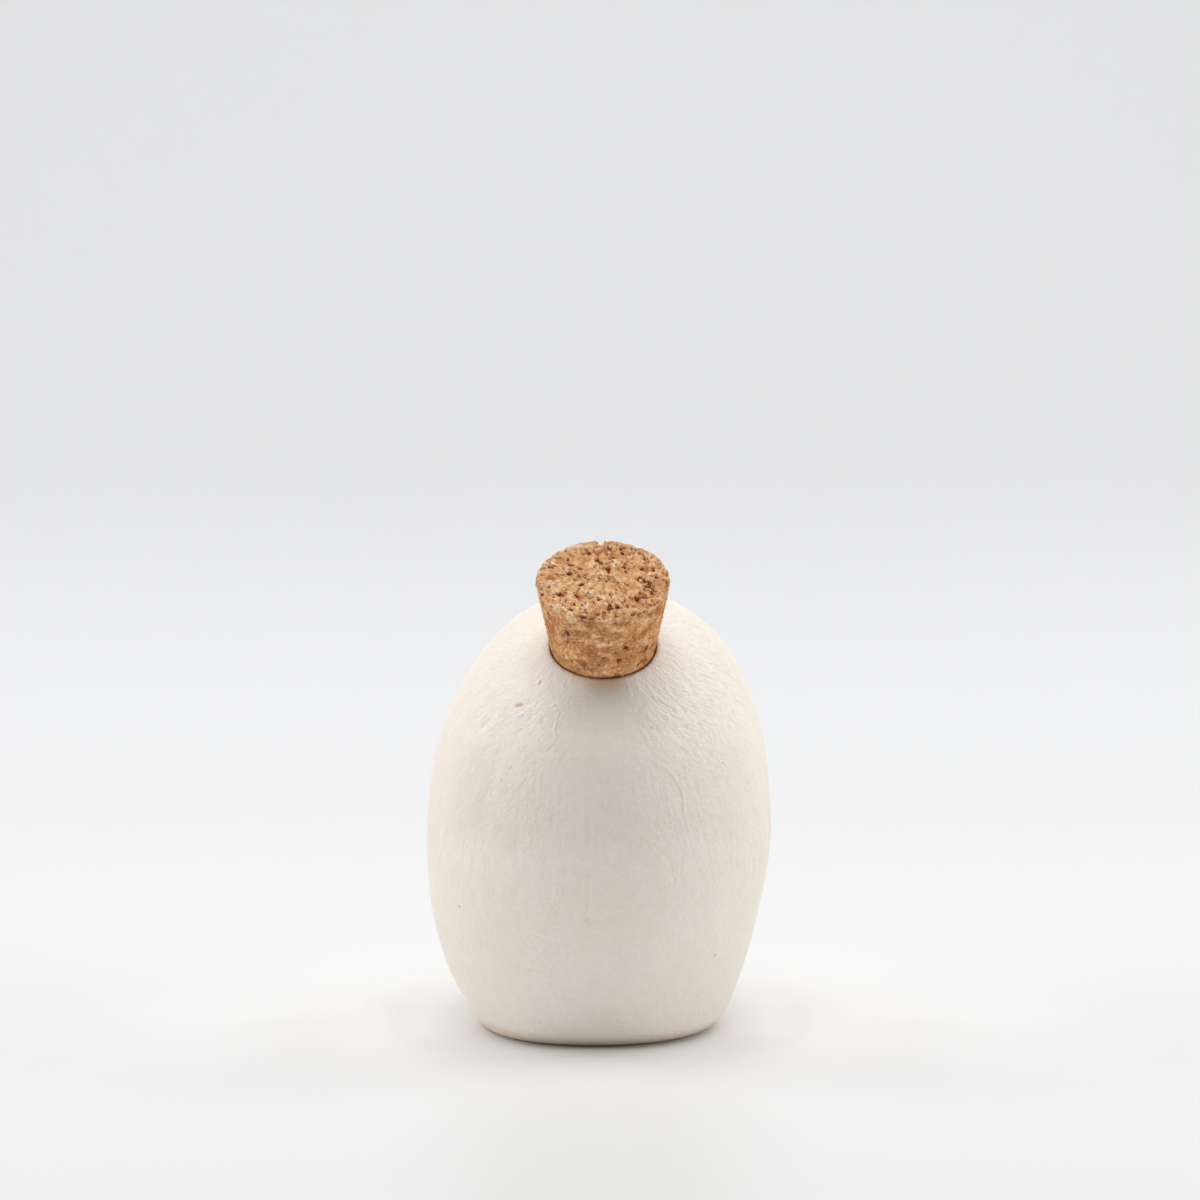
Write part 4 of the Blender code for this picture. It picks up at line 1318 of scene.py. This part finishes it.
colour = dyed(tree, ramp(tree, grain, 0.60, 0.36), colour, IN_GRAIN)
mottle = use(tree, GRAIN, Place=place, Grains_per_metre=520.0, Crispness=0.80)
colour = dyed(tree, ramp(tree, mottle, 0.36, 0.64, soft=False), colour, IN_CLOUDS)
colour = mixed(tree, times(tree, pores, 0.45), colour, BISQUE_DEEP)
# Small pits darkened: partly dirt, partly painted shade in the hollows.
colour = mixed(tree, times(tree, stored(tree, "pit_dirt_and_shade")["Fac"], 0.85), colour, BISQUE_DEEP)
# Painted shade: a brown band on the lip and down the bore, in the shaded gap round the cork.
colour = dyed(tree, band(tree, travelled, -0.0050, 0.0, 0.0001, 0.0007), colour, PAINTED_LIP_GAP_SHADE)

# Painted shade behind the mouth, where the cork leans over the clay: broad, and warmer close to the lip
is_behind = ramp(tree, way_front, 0.2, -0.4)
shade = ramp(tree, sums(tree, "ABSOLUTE", minus(tree, way_aside, 0.08)), 0.50, 0.10)
shade = times(tree, shade, is_behind, band(tree, travelled, -0.0010, 0.0, 0.0005, 0.0055))
colour = dyed(tree, shade, colour, CORK_SHADE)
warm_shade_under_cork = ramp(tree, sums(tree, "ABSOLUTE", plus(tree, way_aside, 0.05)), 0.60, 0.20)
warm_shade_under_cork = times(tree, warm_shade_under_cork, is_behind, band(tree, travelled, -0.0010, 0.0, 0.0004, 0.0028))
colour = dyed(tree, warm_shade_under_cork, colour, WARM_SHADE_UNDER_CORK)
# Painted light: the clay beside the mouth, at the edge of the cork's shade, is painted paler.
painted_light_beside_mouth = plus(tree, ramp(tree, way_aside, -0.25, -0.60), ramp(tree, way_aside, 0.30, 0.60, 0.0, 0.5))
painted_light_beside_mouth = times(tree, painted_light_beside_mouth, ramp(tree, way_front, -0.2, -0.6))
painted_light_beside_mouth = times(tree, painted_light_beside_mouth, band(tree, travelled, 0.0003, 0.0020, 0.0060, 0.0110))
colour = dyed(tree, painted_light_beside_mouth, colour, PAINTED_LIGHT_BESIDE_MOUTH)

# Painted shade over the middle of the back, and painted shade at the foot near the table
sideways, forward, above_table = parts_of(tree, place)
middle = times(tree, ramp(tree, sums(tree, "ABSOLUTE", sideways), 0.0235, 0.0175),
               ramp(tree, forward, -0.004, -0.016), band(tree, above_table, 0.0270, 0.0340, 0.0395, 0.0455))
colour = dyed(tree, middle, colour, PAINTED_SHADE_MID_BACK)
# Painted shade: the foot darker and warmer towards the table.
colour = dyed(tree, ramp(tree, above_table, 0.0026, 0.0002), colour, PAINTED_FOOT_SHADE)
coat(tree, shader, colour, ramp(tree, lumps, 0.3, 0.7, 0.80, 0.92), clay_height)
skull_mesh.materials.append(bisque)
print("bisque:", len(tree.nodes), "nodes")

# %% [markdown]
# ## Cork
#
# Pressed cork is many browns side by side: pale crumbs, tan granules, and a few dark pieces of outer
# bark. Inside the pits it is dark, partly their own deeper red-brown and partly painted shade. Pale flakes
# are partly paler cork and partly painted highlights, and the rim is pale from wear and from a painted
# highlight. The granule pattern is the one that shaped the surface, read from the stored place, so every
# colour ends where its granule ends.

# %% Cork: places, granules and patterns
BROWNS = (
    (0.00, (0.400, 0.165, 0.070)), (0.07, (0.560, 0.285, 0.125)), (0.35, (0.650, 0.365, 0.175)),
    (0.65, (0.690, 0.410, 0.210)), (0.88, (0.725, 0.455, 0.255)), (1.00, (0.780, 0.560, 0.370)),
)
tree, shader, place = fresh(cork_finish, 0.9, 0.08)
where = stored(tree, "cork_place")["Vector"]
crumb_tint = stored(tree, "crumb_tint")["Fac"]
is_crumb = sums(tree, "GREATER_THAN", crumb_tint, 0.01)
not_crumb = minus(tree, 1.0, is_crumb)
below_top = minus(tree, PLUG_TOP, parts_of(tree, where)[2])
on_end = ramp(tree, below_top, SIDE_DEPTH, END_DEPTH)
on_side = ramp(tree, on_end, 0.0, 1.0, 1.0, 0.0)
pattern = placed(tree, granule_look_group, Place=where, On_the_end=on_end)
tint = add(tree, "ShaderNodeMix", {"Factor": is_crumb, 2: pattern["Tint"], 3: crumb_tint}).outputs[0]
own_way = {0: pattern["Grain way"], 1: tint, 2: pattern["Grain way"]}
own_way = scaled(tree, add(tree, "ShaderNodeCombineXYZ", own_way).outputs[0], 0.02)
own_place = vectors(tree, "ADD", place, own_way)
inner = use(tree, GRAIN, Place=own_place, Grains_per_metre=1900.0, Crispness=0.62)
fine = use(tree, GRAIN, Place=place, Grains_per_metre=7000.0, Crispness=0.6)
flecks = use(tree, SPECKS, Place=where, Spots_per_metre=1000.0, Share=0.20, Size=0.26)
flakes = use(tree, SPECKS, Place=own_place, Spots_per_metre=1000.0, Share=0.22, Size=0.46)
torn = cloudy(tree, where, 1100.0, 3.0, Roughness=0.7).outputs["Fac"]
print("cork patterns:", len(tree.nodes), "nodes")

# %% Cork: colour of the granules, and what lies between and on them
INNER_DARK, INNER_PALE, FINE_DARK = (0.78, 0.64, 0.52, 1), (1.16, 1.21, 1.27, 1), (0.84, 0.80, 0.76, 1)
GLUE, PALE_FLAKE_AND_HIGHLIGHT, CUT_END = (0.42, 0.18, 0.07, 1), (0.880, 0.640, 0.470, 1), (1.09, 1.15, 1.19, 1)
FLECK, PIT_BROWN_AND_SHADE = (0.34, 0.105, 0.032, 1), (0.255, 0.048, 0.011, 1)
colour = mixed(tree, ramp(tree, inner, 0.34, 0.66), INNER_DARK, INNER_PALE)
colour = dyed(tree, 1.0, colour_steps(tree, tint, BROWNS), colour)
colour = dyed(tree, ramp(tree, fine, 0.55, 0.35), colour, FINE_DARK)
glue = times(tree, minus(tree, 1.0, pattern["Inside"]), not_crumb)
colour = mixed(tree, times(tree, glue, 0.25), colour, GLUE)
# Pale flakes: partly paler cork, partly painted highlights where granule edges catch the light.
colour = mixed(tree, times(tree, flakes, 0.50), colour, PALE_FLAKE_AND_HIGHLIGHT)
colour = dyed(tree, on_end, colour, CUT_END)
colour = mixed(tree, times(tree, flecks, 0.7), colour, FLECK)
# The pits: their own deeper red-brown, and painted shade inside them.
colour = mixed(tree, times(tree, pattern["Pit"], not_crumb, 0.95), colour, PIT_BROWN_AND_SHADE)

# %% Cork: veins and bark on the side, the rim's wear and painted highlight, and the slow drift
VEIN, BARK, RIM_WEAR_AND_HIGHLIGHT = (0.16, 0.075, 0.045, 1), (0.14, 0.060, 0.042, 1), (0.88, 0.64, 0.42, 1)
PATCH_DARK, PATCH_PALE, DRIFT_DYE = (0.80, 0.71, 0.61, 1), (1.10, 1.11, 1.10, 1), (0.76, 0.70, 0.66, 1)
BARK_SPOTS = (((-0.0046, -0.0070, 0.0066), 0.0024), ((-0.0026, -0.0073, 0.0016), 0.0017))
vein = cloudy(tree, where, 230.0, 4.0, Roughness=0.6).outputs["Fac"]
vein = ramp(tree, sums(tree, "ABSOLUTE", minus(tree, vein, 0.5)), 0.010, 0.002)
often = add(tree, "ShaderNodeTexNoise", {
    "Vector": where, "Scale": 150.0, "Detail": 1.0, "W": 3.0,
}, noise_dimensions="4D").outputs["Fac"]
vein = times(tree, vein, ramp(tree, often, 0.50, 0.62), on_side)
colour = mixed(tree, times(tree, vein, 0.75), colour, VEIN)
patches = use(tree, DRIFT, Place=where, Clouds_per_metre=480.0, Share=1.0,
              Colour=PATCH_DARK, Towards=PATCH_PALE)
colour = dyed(tree, on_side, colour, patches)
for bark_at, bark_size in BARK_SPOTS:
    off = add(tree, "ShaderNodeVectorMath", {0: where, 1: bark_at}, operation="DISTANCE").outputs["Value"]
    bark = times(tree, ramp(tree, off, bark_size, bark_size * 0.3), ramp(tree, torn, 0.48, 0.57))
    colour = mixed(tree, times(tree, bark, 0.75), colour, BARK)
# The rim is painted paler: partly wear, partly a painted highlight along its rounded edge.
rim_wear_and_highlight = band(tree, below_top, 0.0, 0.00010, 0.00025, 0.00065)
rim_wear_and_highlight = times(tree, rim_wear_and_highlight, ramp(tree, torn, 0.42, 0.56, 0.05, 0.50))
colour = mixed(tree, rim_wear_and_highlight, colour, RIM_WEAR_AND_HIGHLIGHT)
deeper = dyed(tree, 1.0, colour, DRIFT_DYE)
colour = use(tree, DRIFT, Place=place, Clouds_per_metre=220.0, Colour=colour, Towards=deeper, Share=0.7)
cork_height = plus(tree, times(tree, inner, 0.00009), times(tree, fine, 0.00003))
coat(tree, shader, colour, ramp(tree, inner, 0.3, 0.7, 0.84, 0.96), cork_height)
print("cork:", len(tree.nodes), "nodes")

# %% [markdown]
# ## Table and backdrop
#
# The bottle stands on a sheet of white paper that curves up behind it, so there is no horizon. It isn't
# part of the bottle. Its colour carries painted light: lighter and darker by depth as the light on the
# sheet rises and falls, painted light beside the foot where the bottle's shadow would lie, and a painted
# shadow just in front of the bottle. Brighter lamps could do that as well, but they would bleach the clay.
# So the tone is the paper's colour as the camera sees it, and for the light that it throws on the bottle
# the paper is an even pale grey.

# %% Paper sweep
SWEEP_START, SWEEP_RADIUS, SWEEP_HALF_WIDTH, WALL_HEIGHT, SWEEP_STEPS = 0.42, 0.45, 2.2, 1.6, 24
FLAT_EDGES = (-1.4, -0.4, 0.1, SWEEP_START)
line = [(y, 0.0) for y in FLAT_EDGES]
for step in range(1, SWEEP_STEPS + 1):
    bend = math.pi / 2 * step / SWEEP_STEPS
    line.append((SWEEP_START + SWEEP_RADIUS * math.sin(bend), SWEEP_RADIUS * (1 - math.cos(bend))))
line.append((SWEEP_START + SWEEP_RADIUS, WALL_HEIGHT))
points = [(side * SWEEP_HALF_WIDTH, y, z) for y, z in line for side in (-1, 1)]
faces = [(2 * k, 2 * k + 1, 2 * k + 3, 2 * k + 2) for k in range(len(line) - 1)]
paper_mesh = bpy.data.meshes.new("paper_sweep")
paper_mesh.from_pydata(points, [], faces)
paper_mesh.shade_smooth()
paper = put_in_scene("paper_sweep", paper_mesh)
print("paper:", len(faces), "faces")

# %% Paper: painted light by depth, painted light beside the foot, and a painted shadow in front
# Painted light: the paper's tone by depth stands in for how the light on the sheet rises and falls.
PAPER_LIGHT_BY_DEPTH = ((-0.11, 0.732), (0.22, 0.768), (0.46, 0.884), (0.61, 0.836), (0.77, 0.880))
TONES_FROM = -0.2
PAINTED_LIGHT_BY_FOOT, BLUISH, PAINTED_SHADOW_IN_FRONT = (0.96, 0.96, 0.96, 1), (0.993, 1.0, 1.012, 1), (0.93, 0.925, 0.915, 1)
PAPER_CLOUD, PAPER_UNSEEN = (0.985, 0.985, 0.985, 1), (0.90, 0.90, 0.90, 1)
paper_finish = bpy.data.materials.new("white_paper")
paper_finish.use_nodes = True
tree, shader, place = fresh(paper_finish, 0.9, 0.08)
aside, depth_into, _ = parts_of(tree, place)
aside = sums(tree, "ABSOLUTE", aside)
fibres = use(tree, GRAIN, Place=place, Grains_per_metre=900.0, Crispness=0.5)
tones = [(depth - TONES_FROM, (tone, tone, tone)) for depth, tone in PAPER_LIGHT_BY_DEPTH]
white = colour_steps(tree, minus(tree, depth_into, TONES_FROM), tones)
white = dyed(tree, ramp(tree, depth_into, 0.10, 0.35), white, BLUISH)
# Painted light beside the foot and further out, where the bottle's shadow would fall.
beside = times(tree, ramp(tree, aside, 0.036, 0.018), band(tree, depth_into, -0.024, 0.0, 0.006, 0.030))
painted_light_further_out = times(tree, band(tree, aside, 0.018, 0.034, 0.050, 0.085),
                band(tree, depth_into, -0.046, -0.012, 0.004, 0.034))
white = mixed(tree, largest(tree, beside, times(tree, painted_light_further_out, 0.35)), white, PAINTED_LIGHT_BY_FOOT)
# Painted shadow on the paper just in front of the bottle.
painted_shadow_in_front = times(tree, ramp(tree, aside, 0.030, 0.006), ramp(tree, depth_into, -0.020, -0.028))
white = dyed(tree, painted_shadow_in_front, white, PAINTED_SHADOW_IN_FRONT)
clouded = dyed(tree, 1.0, white, PAPER_CLOUD)
white = use(tree, DRIFT, Place=place, Clouds_per_metre=3.0, Colour=white, Towards=clouded, Share=1.0)
white = mixed(tree, to_the_eye(tree), PAPER_UNSEEN, white)
coat(tree, shader, white, ramp(tree, fibres, 0.3, 0.7, 0.86, 0.94))
paper_mesh.materials.append(paper_finish)
print("paper finish:", len(tree.nodes), "nodes")

# %% [markdown]
# ## Light
#
# The photograph was lit softly from all sides, a little more from above and from both sides than from
# the camera, so the flanks are bright and the middle of the back is the deepest tone. Six large square
# lamps do that: one above, one over the camera, and a high and a low one on either side. A faint sky
# fills in. The camera sees that sky paler than it shines, so that nothing dark shows past the paper. A
# single sun would throw a hard shadow that the photograph doesn't have.

# %% Lamps
# Name, place, side of the square in metres, and watts
LAMPS = (
    ("top_light", (0.0, 0.10, 0.80), 0.25, 1.0),
    ("near_light", (0.0, -0.25, 0.80), 0.50, 2.75),
    ("high_left_light", (-0.55, 0.20, 0.65), 0.50, 2.3),
    ("high_right_light", (0.55, 0.20, 0.65), 0.50, 2.5),
    ("low_left_light", (-0.75, -0.10, 0.15), 0.50, 2.35),
    ("low_right_light", (0.75, -0.10, 0.15), 0.50, 2.1),
)
LIT_POINT = Vector((0, 0, 0.03))
for name, lamp_place, side, watts in LAMPS:
    lamp_data = bpy.data.lights.new(name, "AREA")
    lamp_data.shape = "SQUARE"
    lamp_data.size = side
    lamp_data.energy = watts
    lamp = put_in_scene(name, lamp_data)
    lamp.location = lamp_place
    lamp.rotation_euler = (Vector(lamp_place) - LIT_POINT).to_track_quat("Z", "Y").to_euler()
print("lamps:", [name for name, *_ in LAMPS])

# %% Sky
SKY_STRENGTH, SKY_SEEN = 0.12, 0.76
sky = bpy.data.worlds.new("even_sky")
sky.use_nodes = True
tree = sky.node_tree
background = tree.nodes["Background"]
background.inputs["Color"].default_value = (1, 1, 1, 1)
sky_level = ramp(tree, to_the_eye(tree), 0.0, 1.0, SKY_STRENGTH, SKY_SEEN)
tree.links.new(sky_level, background.inputs["Strength"])
bpy.context.scene.world = sky
bpy.context.scene.view_settings.view_transform = "Standard"
print("sky:", SKY_STRENGTH, "as light,", SKY_SEEN, "as seen")
